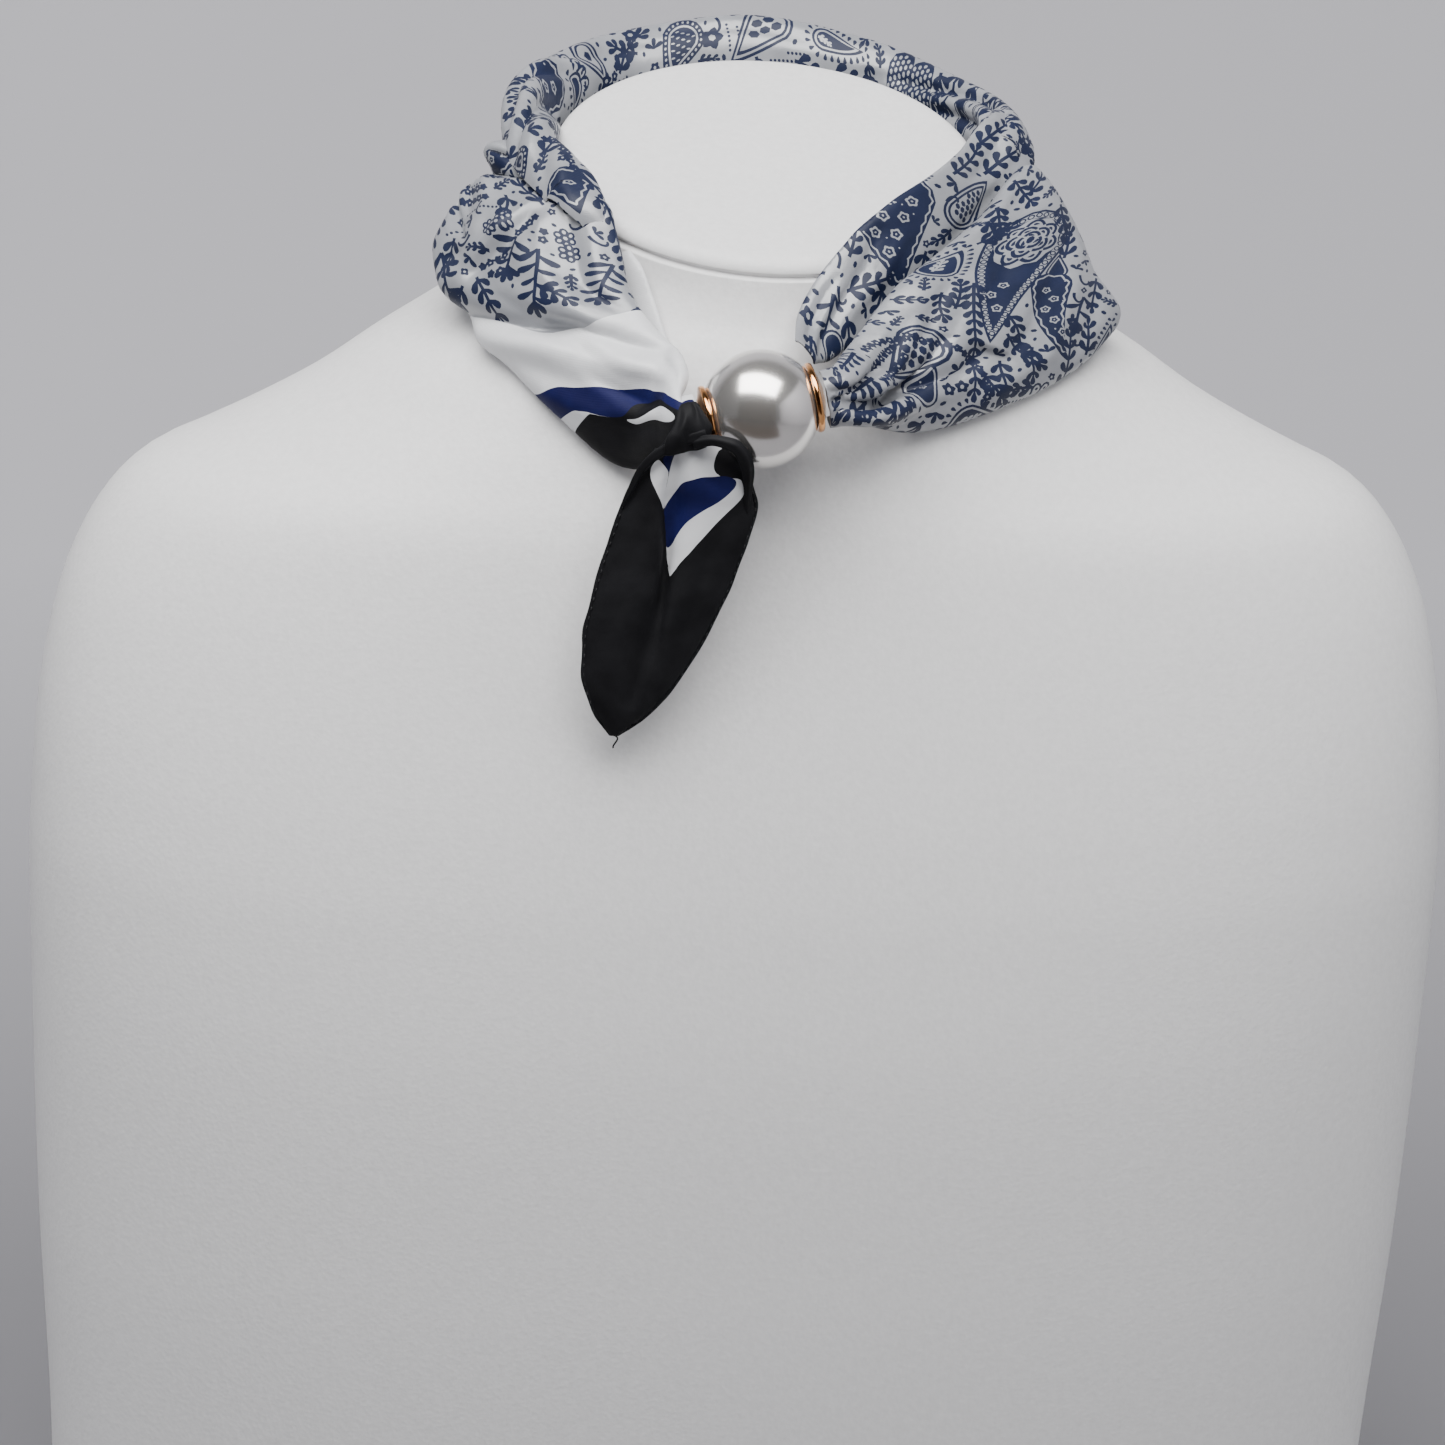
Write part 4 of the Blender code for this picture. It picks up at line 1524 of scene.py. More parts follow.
def stitch_tree(thread: bpy.types.Material) -> bpy.types.NodeTree:
    """The node tree that lays one small stitch every so often along the paths it is given.

    Args:
        thread: The stitches' material.

    Returns:
        The tree, with inputs Spacing, Length and Radius in metres.
    """
    tree = bpy.data.node_groups.new("stitches", "GeometryNodeTree")
    face = tree.interface
    face.new_socket("Geometry", in_out="INPUT", socket_type="NodeSocketGeometry")
    for name in ("Spacing", "Length", "Radius"):
        face.new_socket(name, in_out="INPUT", socket_type="NodeSocketFloat")
    face.new_socket("Geometry", in_out="OUTPUT", socket_type="NodeSocketGeometry")
    kinds = {
        "inputs": "NodeGroupInput",
        "outputs": "NodeGroupOutput",
        "curve": "GeometryNodeMeshToCurve",
        "spaced": "GeometryNodeResampleCurve",
        "scatter": "GeometryNodeInstanceOnPoints",
        "tangent": "GeometryNodeInputTangent",
        "turn": "FunctionNodeAlignRotationToVector",
        "shape": "GeometryNodeMeshCylinder",
        "smooth": "GeometryNodeSetShadeSmooth",
        "real": "GeometryNodeRealizeInstances",
        "paint": "GeometryNodeSetMaterial",
    }
    nodes = {name: tree.nodes.new(kind) for name, kind in kinds.items()}
    nodes["spaced"].mode = "LENGTH"
    nodes["turn"].axis = "Z"
    nodes["shape"].inputs["Vertices"].default_value = 6
    nodes["paint"].inputs["Material"].default_value = thread
    for source, output, target, entry in (
        ("inputs", "Geometry", "curve", "Mesh"),
        ("curve", "Curve", "spaced", "Curve"),
        ("inputs", "Spacing", "spaced", "Length"),
        ("spaced", "Curve", "scatter", "Points"),
        ("inputs", "Radius", "shape", "Radius"),
        ("inputs", "Length", "shape", "Depth"),
        ("shape", "Mesh", "scatter", "Instance"),
        ("tangent", "Tangent", "turn", "Vector"),
        ("turn", "Rotation", "scatter", "Rotation"),
        ("scatter", "Instances", "smooth", "Geometry"),
        ("smooth", "Geometry", "real", "Geometry"),
        ("real", "Geometry", "paint", "Geometry"),
        ("paint", "Geometry", "outputs", "Geometry"),
    ):
        tree.links.new(nodes[source].outputs[output], nodes[target].inputs[entry])
    return tree


# ---- The clasp ----


@dataclass
class Clasp:
    """The pearl and the two rose-gold ring caps on its axis."""

    pearl_radius: float = 15.0
    seat_gap: float = 0.35
    cap_start: float = 12.9
    bead_radius: float = 8.95
    bead_height: float = 0.52
    bead_half: float = 0.8
    cap_wall: float = 1.0

    def turned(self, name: str, profile: Sequence[tuple], direction: float, sides: int) -> bpy.types.Mesh:
        """A body turned about the clasp axis.

        Args:
            name: The mesh's name.
            profile: Pairs of radius and distance from the pearl's centre, in millimetres.
            direction: 1 for the right side of the pearl, -1 for the left.
            sides: Points round the axis.

        Returns:
            The mesh.
        """
        grid = np.empty((len(profile), sides, 3))
        for row, (radius, along) in enumerate(profile):
            for side in range(sides):
                turn = 2 * math.pi * side / sides
                reach = max(radius, 0.02)
                grid[row, side] = on_clasp(along * direction, reach * math.cos(turn), reach * math.sin(turn))
        return closed_mesh(name, grid)

    def cap_profile(self) -> list[tuple]:
        """The outline of a cap: one broad round bead over a dished seat."""
        seat = self.pearl_radius + self.seat_gap
        back = seat + self.cap_wall
        outline = [(radius, math.sqrt(back**2 - radius**2)) for radius in (0, 3, 5.5, 7.4)]
        for turn in range(90, -91, -15):
            angle = math.radians(turn)
            radius = self.bead_radius - 0.55 + self.bead_height * math.cos(angle)
            outline.append((radius, self.cap_start + self.bead_half * (1 + math.sin(angle))))
        outline += [(radius, math.sqrt(seat**2 - radius**2)) for radius in (8.0, 6.0, 4.0, 2.0, 0)]
        return outline

    def build(self, coat: bpy.types.Material, gold: bpy.types.Material) -> None:
        """Builds the pearl and both caps.

        Args:
            coat: The pearl's coat.
            gold: The caps' plating.
        """
        around = [
            (self.pearl_radius * math.sin(turn), -self.pearl_radius * math.cos(turn))
            for turn in np.linspace(0.004, math.pi - 0.004, 72)
        ]
        dress(new_object("pearl_body", self.turned("pearl_body", around, 1.0, 112), coat), "clasp_pearl")
        for side, direction in (("left", -1.0), ("right", 1.0)):
            mesh = self.turned(f"ring_cap_{side}", self.cap_profile(), direction, 96)
            dress(new_object(f"ring_cap_{side}", mesh, gold), f"clasp_ring_{side}")


# ---- Light, backdrop and camera ----


@dataclass
class Studio:
    """The pale floor and backdrop, the soft boxes and the camera at the photograph's angle."""

    eye: tuple = (-155.11, -1431.77, 737.74)
    turn_degrees: float = -6.0
    rise_degrees: float = 18.0
    roll_degrees: float = 2.7
    lens: float = 139.516
    sweep_start: float = 260.0
    sweep_radius: float = 500.0

    def camera(self) -> None:
        """Places the camera."""
        turn, rise, roll = (
            math.radians(value) for value in (self.turn_degrees, self.rise_degrees, self.roll_degrees)
        )
        back = Vector((math.sin(turn) * math.cos(rise), -math.cos(turn) * math.cos(rise), math.sin(rise)))
        level = (-back).cross(Vector((0, 0, 1))).normalized()
        above = level.cross(-back)
        right = level * math.cos(roll) + above * math.sin(roll)
        up = above * math.cos(roll) - level * math.sin(roll)
        data = bpy.data.cameras.new("camera")
        data.sensor_width = 36
        data.lens = self.lens
        data.clip_end = 20
        made = bpy.data.objects.new("camera", data)
        bpy.context.scene.collection.objects.link(made)
        place = Matrix((right, up, back)).transposed().to_4x4()
        place.translation = (Vector(self.eye) + Vector((0, CENTRING_Y, 0))) * MM
        made.matrix_world = place
        bpy.context.scene.camera = made

    def backdrop(self, paper: bpy.types.Material) -> None:
        """A floor that sweeps up into a wall behind the bust."""
        profile = [(-2400.0, 0.0), (self.sweep_start, 0.0)]
        for turn in np.linspace(0.1, math.pi / 2, 16):
            profile.append((
                self.sweep_start + self.sweep_radius * math.sin(turn),
                self.sweep_radius * (1 - math.cos(turn)),
            ))
        profile.append((self.sweep_start + self.sweep_radius, 2600.0))
        points = [(x * MM, y * MM, z * MM) for y, z in profile for x in (-2600, 2600)]
        faces = [(2 * i, 2 * i + 1, 2 * i + 3, 2 * i + 2) for i in range(len(profile) - 1)]
        mesh = bpy.data.meshes.new("backdrop")
        mesh.from_pydata(points, [], faces)
        mesh.shade_smooth()
        new_object("backdrop", mesh, paper)

    def card(self, name: str, places: list, faces: list, skin: bpy.types.Material) -> None:
        """Adds a card that is only seen in reflections.

        Args:
            name: Its name.
            places: Its corners, in metres.
            faces: Its faces, as corner numbers.
            skin: Its material.
        """
        mesh = bpy.data.meshes.new(name)
        mesh.from_pydata(places, [], faces)
        made = new_object(name, mesh, skin)
        made.visible_camera = made.visible_diffuse = made.visible_shadow = False

    def room(self, wall: bpy.types.Material, paper: bpy.types.Material) -> None:
        """The dark room before the bust and a pale card at its right side."""
        near = [(0.3, -0.45, 0.002), (-1.5, -0.45, 0.002), (-2.6, -2.2, 0.002), (0.9, -2.2, 0.002)]
        high = [(0.9, -2.2, 1.7), (-2.6, -2.2, 1.7)]
        self.card("dark_room", near + high, [(0, 1, 2, 3), (3, 2, 5, 4)], wall)
        side = [(0.75, -1.3, 0.1), (0.85, 0.3, 0.1), (0.85, 0.3, 0.95), (0.75, -1.3, 0.95)]
        self.card("pale_card", side, [(3, 2, 1, 0)], paper)

    def soft_box(self, name: str, place: tuple, aim: tuple, size: tuple, power: float, tint: tuple) -> None:
        """Adds one soft box.

        Args:
            name: Its name.
            place: Where it hangs, in metres.
            aim: What it points at.
            size: Its width and height in metres.
            power: Its power in watts.
            tint: Its colour.
        """
        data = bpy.data.lights.new(name, "AREA")
        data.shape = "RECTANGLE"
        data.size, data.size_y = size
        data.energy = power
        data.color = tint
        made = bpy.data.objects.new(name, data)
        made.visible_glossy = name == "key"
        bpy.context.scene.collection.objects.link(made)
        ahead = Vector(aim) - Vector(place)
        made.matrix_world = Matrix.Translation(place) @ ahead.to_track_quat("-Z", "Y").to_matrix().to_4x4()

    def build(self, paper: bpy.types.Material) -> None:
        """Builds the studio.

        Args:
            paper: The floor's and backdrop's paper.
        """
        self.camera()
        self.backdrop(paper)
        self.room(Paper("brown_wall", (0.05, 0.03, 0.018)).build(), paper)
        world = bpy.data.worlds.new("studio")
        world.use_nodes = True
        world.node_tree.nodes["Background"].inputs["Color"].default_value = (0.86, 0.87, 0.92, 1)
        world.node_tree.nodes["Background"].inputs["Strength"].default_value = 0.08
        bpy.context.scene.world = world
        aim = (0.0, -0.06, 0.38)
        self.soft_box("key", (-0.14, -0.5, 1.36), aim, (1.5, 0.8), 39, (1.0, 0.995, 0.985))
        self.soft_box("left", (-1.5, -0.9, 0.9), aim, (0.6, 1.2), 7, (0.96, 0.98, 1.0))
        self.soft_box("right", (1.6, -0.8, 0.9), aim, (0.6, 1.2), 11, (0.97, 0.98, 1.0))
        log.info("studio ready")


# ---- The object's own sizes, in millimetres before the part is centred ----
# Rows of BustRow, Section and Fold sizes.

BUST_ROWS = (
    (0, 181, -76, 62, 2.5, 0.0), (70, 183, -85, 66, 2.5, 0.0), (140, 187, -91, 69, 2.5, 0.0),
    (200, 189, -93, 70, 2.5, 0.0), (240, 190, -91.3, 70, 2.5, 0.0), (264, 189.2, -88.9, 69.3, 2.45, 0.0),
    (280, 188, -86.6, 68.4, 2.4, 0.0), (296, 185.6, -83.9, 67.3, 2.35, 0.0), (312, 181.8, -80.9, 65.8, 2.3, 0.0),
    (326, 176, -78.1, 64, 2.25, 0.0), (337, 168.8, -75.8, 62.1, 2.2, 0.0), (345, 160, -73.9, 60.5, 2.1, 0.0),
    (351, 148, -72.4, 59.4, 2.0, 0.0), (358, 134, -70.5, 58.2, 1.95, 0.0), (367, 118, -68, 57, 1.9, 0.0),
    (378, 101.5, -64.7, 56, 1.9, 0.02), (390, 81, -60.4, 55, 1.95, 0.06), (402, 64, -56, 54, 2.0, 0.14),
    (414, 57, -54, 52, 2.0, 0.24), (424, 56, -53, 50, 2.0, 0.31),
)

BACK_ROLL = sections(
    (-50.5, -40, 407.5, -43.4, -41.5, 417, 4.0, 3.5, 99, 186),
    (-52.6, -34, 409.5, -46.2, -37, 423.2, 8.6, 4.6, 99, 188), (-52, -28.5, 409, -48, -32, 426, 10.8, 5.0, 99, 190),
    (-58, -19, 411, -54, -22, 430.5, 9.3, 5.5, 97, 215), (-60.5, -5, 414, -62, -5, 436, 7.6, 6.2, 100, 290),
    (-61, 11, 416, -63, 13, 441, 6.7, 6.7, 62, 325), (-52, 36, 417, -53, 38, 444, 6.5, 6.7, 20, 335),
    (-31, 55, 418, -32, 57, 447.5, 7.0, 7.0, 20, 335), (0, 60, 419, 0, 63, 451, 7.4, 7.4, 20, 335),
    (31, 55, 417, 32, 57, 446.5, 7.0, 7.0, 20, 335), (52, 36, 416, 53, 38, 441, 6.5, 6.7, 20, 335),
    (61, 17, 416, 63, 18, 438.5, 6.4, 6.7, 50, 315), (60.5, 5, 416, 65, 6, 437, 6.4, 6.2, 98, 225),
    (58, -3, 416, 62, -2, 433.5, 6.0, 5.0, 122, 200),
)

LEFT_PANEL = sections(
    (-60, -4, 416, -67, 3, 424, 3.4, 3.4, -40, 285), (-58.5, -11, 417, -70, -1, 428, 4.0, 4.4, -40, 275),
    (-55, -20, 417, -74, -3, 427, 4.0, 4.4, -30, 250), (-50.4, -27.8, 419.5, -71.5, -5, 420, 2.2, 4.0),
    (-47.6, -32.4, 421.6, -78.5, -6, 418, 2.6, 5.0), (-44.4, -38.2, 420.8, -83.5, -10, 410, 5.2, 6.0),
    (-42.5, -43, 415, -87, -16, 402.5, 7.0, 7.0), (-41, -49, 409, -86, -24, 396, 7.0, 7.0),
    (-40, -54, 404, -80, -33, 390, 7.0, 7.0), (-37, -60, 399, -70, -46, 381.5, 6.5, 7.0),
    (-32, -66, 394, -56.5, -60.5, 371, 6.0, 7.0), (-27.5, -74, 391, -39.5, -71, 360.5, 5.0, 4.0),
    (-27, -80, 388, -30.5, -82, 366, 5.2, 5.0),
)

LEFT_UNDER = sections(
    (-38.5, -41, 409.5, -46, -37, 406, 0.6, 0.6), (-35.7, -45, 406.5, -45, -41, 400, 0.8, 0.8),
    (-32.8, -49.5, 399.5, -43, -46, 392, 0.8, 0.8), (-28.8, -57, 389, -39, -53, 384, 0.8, 0.8),
    ends=(0, 180),
)

RIGHT_FAN = sections(
    (63.5, 4, 419, 65.5, 4, 422, 1.2, 1.5), (64.5, -3, 422, 68.5, 1.5, 426, 1.5, 2.0),
    (62.5, -11, 423.5, 73, -1, 422.5, 2.5, 3.0), (54, -27, 418, 81, -8, 410, 5.5, 5.0),
    (45, -40, 414, 86, -15, 399, 6.5, 6.0), (37, -49, 410, 92, -22, 391, 7.0, 6.5),
    (30, -57, 407, 86, -33, 385.5, 7.0, 7.0), (24, -63, 402, 75, -45, 380, 6.5, 7.0),
    (19, -69, 397, 60, -56, 375.5, 6.0, 7.0), (14, -75, 392.5, 36, -67, 370.5, 5.5, 7.0),
    ends=(-5,),
)

RIGHT_INNER = sections(
    (60.5, 10, 437.5, 69.5, 11, 432, 1.6), (58, 2, 437.5, 70.8, 2, 427.5, 1.8), (53.2, -4.5, 434, 68, -5, 420.5, 1.8),
    (49, -12, 431, 62.5, -11, 415, 1.8), (44, -23, 430, 58.5, -17, 412, 2.0), (37.5, -33, 428, 54.5, -23, 408, 2.5),
    (29.5, -41, 425, 49.5, -31, 402, 2.5), (23.5, -46, 421.5, 43, -38.5, 398.5, 2.5),
    (18.5, -49.5, 418, 36, -46, 396, 2.5), (15, -52, 414.5, 29, -51.5, 394.5, 2.5), (10, -55, 409, 22, -57, 392, 2.5),
    (5.5, -60, 403.5, 15.5, -63, 390.5, 2.0), (2.5, -66, 398.5, 10.5, -69, 389, 1.5),
    (1.5, -74, 395, 6, -76.5, 390, 1.2),
    ends=(1.0, 0, 180),
)

FAN_FOLDS = (
    Fold(0.66, 1.0, 0.58, 0.5, -3.6, 0.09),
    Fold(0.74, 1.0, 0.34, 0.3, -1.6, 0.08),
    Fold(0.2, 0.8, 0.2, 0.4, -1.2, 0.12),
)

PANEL_FOLDS = (
    Fold(0.28, 0.7, 0.62, 0.3, 1.6, 0.1),
    Fold(0.45, 0.9, 0.85, 0.15, -1.4, 0.1),
)

TAIL = sections(
    (-31, -90.6, 374, -17, -92.2, 373, 1.0, 1.0), (-35, -90.2, 368.6, -12, -92.4, 366.8, 2.0, 1.0),
    (-38.6, -89.6, 362.4, -9.6, -91.5, 361, 2.8, 1.0), (-41, -89, 357.2, -8.5, -90.5, 356, 3.0, 1.0),
    (-43.5, -89.5, 349.2, -10.5, -91, 348, 3.0, 1.0), (-46, -90, 340.9, -13, -91.5, 339.8, 3.0, 1.0),
    (-48.5, -91, 330.3, -16, -92, 331.8, 3.0, 1.0), (-50, -91.5, 321.8, -21, -92, 320.7, 3.0, 1.0),
    (-50, -92, 313.3, -26.5, -92.5, 311.2, 2.5, 1.0), (-47.5, -92.5, 304.3, -33, -92.5, 302.8, 2.0, 0.8),
    (-42.8, -92.5, 296.5, -40.6, -92.5, 296.5, 0.6, 0.5),
    ends=(0, 180),
)

TAIL_FOLDS = (
    Fold(0.02, 0.9, 0.3, 0.62, -3.2, 0.08),
)


# ---- The prints and creases on the flat cloth, in millimetres: rows of Spot and Crease sizes ----

ROLL_PRINT = (
    ("solid", 16, 6.5, 5.6, 200, 10, 12), ("branch", 20, 12.5, 12, 184), ("branch", 8, 9, 9, 184),
    ("ringed", 36, 2.6, 4.2, 200, 0, 7), ("branch", 31, 8, 11, 60), ("pips", 29, 14, 12, 190, 10),
    ("pips", 36, 16.5, 16, 200, 10), ("pips", 36, 12, 12, 80), ("sprig", 46, 8, 8, 40, 20),
    ("sprig", 54, 15, 8, 200, 20), ("curl", 57, 22, 5, 90, 80), ("solid", 79, 33, 7.5, 190, -30, 20),
    ("rayed", 92, 40, 3.2, 120, 20, 8), ("celled", 101, 34, 4.6, 60, 20, 12), ("flower", 106, 44, 1.7),
    ("pips", 108, 46, 8, -60, 20), ("branch", 112, 44, 14, -50, 30), ("flower", 120, 35, 2.2),
    ("sprig", 121, 41, 8, 200, 20), ("scallops", 96, 43, 17, 262, -30), ("ringed", 135, 41, 6.4, 120, -20, 13),
    ("flower", 143.5, 42.5, 2.7), ("curl", 145, 36, 4, 60, 60), ("dots", 148, 39, 9, 80, 10),
    ("dots", 151, 40, 8, 80, 10), ("celled", 160, 38, 7, 128, 15, 17), ("dots", 161, 49, 10, -10),
    ("dots", 166, 46, 6, -10), ("rayed", 176, 39, 3.6, 5, -30, 12), ("sprig", 168, 47.5, 8, 5, 10),
    ("branch", 179, 47, 15, -8, 5), ("sprig", 190, 40, 6, 60, 5), ("packed", 201, 30, 16, 84),
    ("packed", 208, 29, 16, 78), ("ringed", 217, 40, 3.4, 260, 0, 8), ("branch", 214, 30, 15, 50, 10),
    ("branch", 219, 26, 16, 70, 10), ("solid", 231, 36, 4, 250, 10, 12), ("branch", 225, 22, 15, 60, 20),
    ("packed", 236, 18, 14, 60), ("scaled", 243, 30, 4.4, 230, 10, 11), ("branch", 241, 12, 13, 50, 10),
    ("packed", 252, 10, 12, 60), ("branch", 250, 24, 12, 60, 10),
    # round the outside of the neck
    ("beaded", 97, 16, 7.5, 20, 20, 19), ("rayed", 121, 20, 5, 200, 20, 12), ("solid", 131, 10, 7, 10, -20, 19),
    ("ringed", 155, 20, 5.5, 200, 20, 14), ("open_flower", 143, 24, 1.8), ("celled", 175, 12, 6.5, 20, 20, 16),
    ("rayed", 197, 20, 5, 200, -20, 12), ("solid", 213, 12, 6, 20, 20, 16), ("branch", 163, 28, 13, 10, 10),
    ("branch", 79, 12, 14, -30, 20), ("solid", 123, 58, 5, 10, 20, 13), ("branch", 149, 58, 14, 0, 20),
    ("rayed", 173, 58, 4, 180, 20, 10), ("celled", 97, 56, 4.5, 0, 10, 12),
)
ROLL_FIELD = ((-4, -4), (272, -4), (272, 76), (-4, 76))

PANEL_PRINT = (
    ("branch", 47, 21, 15, 150, 20), ("branch", 42, 31, 11, 0, 40), ("coral", 62, 25, 23, 4, 14),
    ("coral", 56, 30.5, 15, 24), ("coral", 67, 6, 20, 22), ("coral", 56.5, 56, 17, -6),
    ("branch", 66.5, 45, 17, -25, 25), ("sprig", 68.5, 49, 8, 40, 10), ("sprig", 70, 17.4, 5, 3),
    ("branch", 42, 4, 13, -2, -4), ("branch", 54, 3.4, 13, -4), ("open_flower", 57.6, 17.4, 2.1),
    ("open_flower", 62.6, 17, 2.2), ("open_flower", 51.5, 32.8, 1.9), ("open_flower", 53.2, 37.2, 1.8),
    ("open_flower", 48, 13.5, 1.9), ("curl", 51, 10, 5.2, 20, 80), ("curl", 57, 11, 4.6, -20, -80),
    ("pips", 63.6, 43, 10, -110, 10), ("pips", 66.6, 40, 6, -100, 10), ("pips", 51, 24, 9, 50, 10),
    ("pips", 56, 22.5, 6, 10, 10), ("pips", 38, 47, 12, -88, 10), ("pips", 41.5, 47, 12, -86, 10),
    ("dots", 46, 46, 14, -90, 10), ("dots", 49, 47, 8, 60, 10), ("dots", 36, 53, 16, -90, 10),
    ("curl", 54, 43.6, 4.4, 40, 60), ("curl", 44, 38.5, 4.4, 60, -80), ("sprig", 53, 51, 8, 20, 10),
    ("sprig", 44, 55, 8, 20, 10), ("branch", 74, 26, 10, -50, 20), ("solid", 18, 26, 6, 20, 20, 15),
    ("celled", 16, 44, 5.5, 0, 20, 14), ("branch", 14, 8, 15, 10, 10), ("sprig", 88, 3.5, 6, 0, 10),
)
PANEL_FIELD = (
    (-4, -4), (85, -4), (85, 6), (78, 10), (78, 18), (76, 24), (74, 34), (72, 40), (70, 50), (64, 64), (62, 74),
    (-4, 74),
)
PANEL_BANDS = (
    (Ink.WHITE, (
        (91, -9), (90, 4), (90.5, 12), (91.5, 20), (87.5, 30), (84.5, 35), (82, 39), (79, 45), (76.5, 52), (73, 62),
        (70, 84), (190, 84), (190, -9),
    )),
    (Ink.ROYAL, (
        (94, 60), (97, 48), (100.2, 41), (101, 39), (102, 34.5), (103.5, 32), (105, 30.2), (106.7, 27.6),
        (109.2, 24.3), (111.7, 22.1), (115.2, 18.8), (119.8, 15.1), (124.7, 12.7), (131.6, 9.6), (138, 6),
        (145, 3.4), (146, 5.5), (139, 7.8), (132, 11.2), (125.5, 14.6), (121.5, 17.8), (119.5, 20.5), (119.5, 23.5),
        (118.2, 25.5), (115.4, 28), (112.1, 30.3), (109.1, 33.4), (107.5, 39.7), (104, 58),
    )),
    (Ink.WHITE, (
        (105, 58), (106.6, 46), (107.6, 39.6), (108.7, 34.6), (109.2, 33.2), (109.8, 32.6), (111.4, 30.9),
        (112.2, 30.2), (112.1, 31.4), (111.6, 38), (111.8, 46), (112, 58),
    )),
    # The black band is the scarf's black border; its strip between the blue band and the last white wedge in this
    # table is painted fold shade.
    (Ink.BLACK, (
        (111.8, 60), (111.7, 46), (111.6, 38), (112, 31.2), (112.4, 30.2), (115.4, 28), (118.2, 25.5),
        (119.5, 23.5), (119.5, 20.5), (121.5, 17.8), (125.5, 14.6), (132, 11.2), (139, 7.8), (146, 5.5), (150, 5),
        (166, 30), (162, 74), (114, 74),
    )),
    (Ink.WHITE, (
        (119.8, 24.6), (121.5, 23), (126.3, 19), (129.7, 15.3), (132.9, 11.9), (136, 10.2), (139, 9.4),
        (138.8, 10.8), (137, 12.7), (132, 16.2), (128, 19.1), (122, 24),
    )),
)

UNDER_BANDS = ((Ink.WHITE, ((-9, -9), (60, -9), (60, 40), (-9, 40))),)

FAN_PRINT = (
    ("drop", 50, 38, 3.4, 205, 0, 8), ("solid", 56, 39.5, 6, 24, 55, 31), ("beaded", 41, 22, 11.8, 13, 4, 45),
    ("rayed", 58, 6.5, 6.2, 170, 20, 9), ("celled", 96, 17, 8.4, -6, -12, 21), ("solid", 112, 26, 4.6, 190, 20, 12),
    ("rayed", 110, 43.5, 5.4, 130, 20, 10), ("pips", 112, 4.5, 58, 184, -165), ("dots", 109, 8, 50, 182, -165),
    ("pips", 118, 9, 26, 184, -20), ("pips", 121, 14, 20, 186, -10), ("branch", 18, 3, 13, 40, 20),
    ("branch", 24, 10, 12, 150, 20), ("sprig", 30, 4, 10, 30, 20), ("sprig", 37, 5, 8, 60, -20),
    ("sprig", 46, 9, 9, 150, 20), ("sprig", 26, 24, 11, 30, 20), ("branch", 44, 37, 11, 200, 10),
    ("sprig", 70, 13, 10, 14, 20), ("sprig", 76, 19, 10, 186, 20), ("branch", 63, 19, 44, 21, 10),
    ("curl", 86, 33, 5.6, 10, -85), ("sprig", 72, 33, 11, 56, -20), ("branch", 79, 36, 15, 50, 40),
    ("sprig", 89, 39, 9, 30, 20), ("sprig", 80, 45, 9, 20, 20), ("sprig", 96, 37, 9, 60, 20),
    ("flower", 68, 54.5, 2.1), ("curl", 72, 55, 4, 60, 85), ("curl", 49, 45, 4.6, 30, 90),
    ("coral", 56, 51, 14, 12, 10), ("curl", 56, 47, 4, 20, 80), ("scallops", 99, 46, 17, 128),
    ("dots", 103, 46, 20, 132), ("branch", 86, 63, 22, 214, -10), ("sprig", 74, 63, 9, 200, 10),
    ("sprig", 92, 53, 8, 300, 20), ("branch", 46, 52, 12, 10, 20), ("flower", 103, 34, 1.7),
    ("flower", 106, 31.5, 1.6), ("branch", 122, 22, 15, 10), ("branch", 118, 33, 15, 8, 10),
    ("sprig", 128, 28, 10, 10, 10), ("branch", 118, 3, 16, 2), ("branch", 122, 11.5, 14, -2),
    ("pips", 138, 20, 12, 178, 5), ("sprig", 131, 16.5, 8, 4), ("pips", 131, 25, 14, 176, 5),
    # behind the edge that shows
    ("solid", 24, 50, 6, 20, 20, 16), ("celled", 40, 62, 5.5, 10, 20, 14), ("rayed", 70, 70, 4.5, 200, 20, 11),
)
FAN_FIELD = ((-4, -4), (150, -4), (150, 84), (-4, 84))

INNER_PRINT = (
    ("solid", 63, -2, 14, 48, 10, 28), ("scaled", 48, 14.5, 6, 194, -10, 19), ("curl", 50, 9, 4, 200, -90),
    ("branch", 40, 3.5, 16, 176, 10), ("branch", 28, 9, 16, 172, -10), ("branch", 22, 3, 14, 170),
    ("branch", 14, 12, 12, 170), ("packed", 6, 7, 8, 60), ("dots", 46, 0.4, 22, 0),
    ("sprig", 66, 17, 9, 30, 10), ("sprig", 87, 3, 9, 200), ("curl", 92, 3, 5, 200, 80),
    ("curl", 94, 5.5, 4.4, 30, 90), ("branch", 93, 8.5, 17, 150, 10), ("sprig", 84, 15, 8, 30),
    ("sprig", 98, 12, 8, 60), ("coral", 97, 6, 12, 20), ("flower", 107, 2.6, 2),
    ("solid", 107, 13.5, 4.5, 20, 0, 11), ("sprig", 111, 5, 8, 0), ("branch", 56, 24, 13, 10, 10),
    ("celled", 80, 25, 4.5, 10, 10, 12),
)
INNER_FIELD = ((-4, -4), (115, -4), (115, 36), (-4, 36))

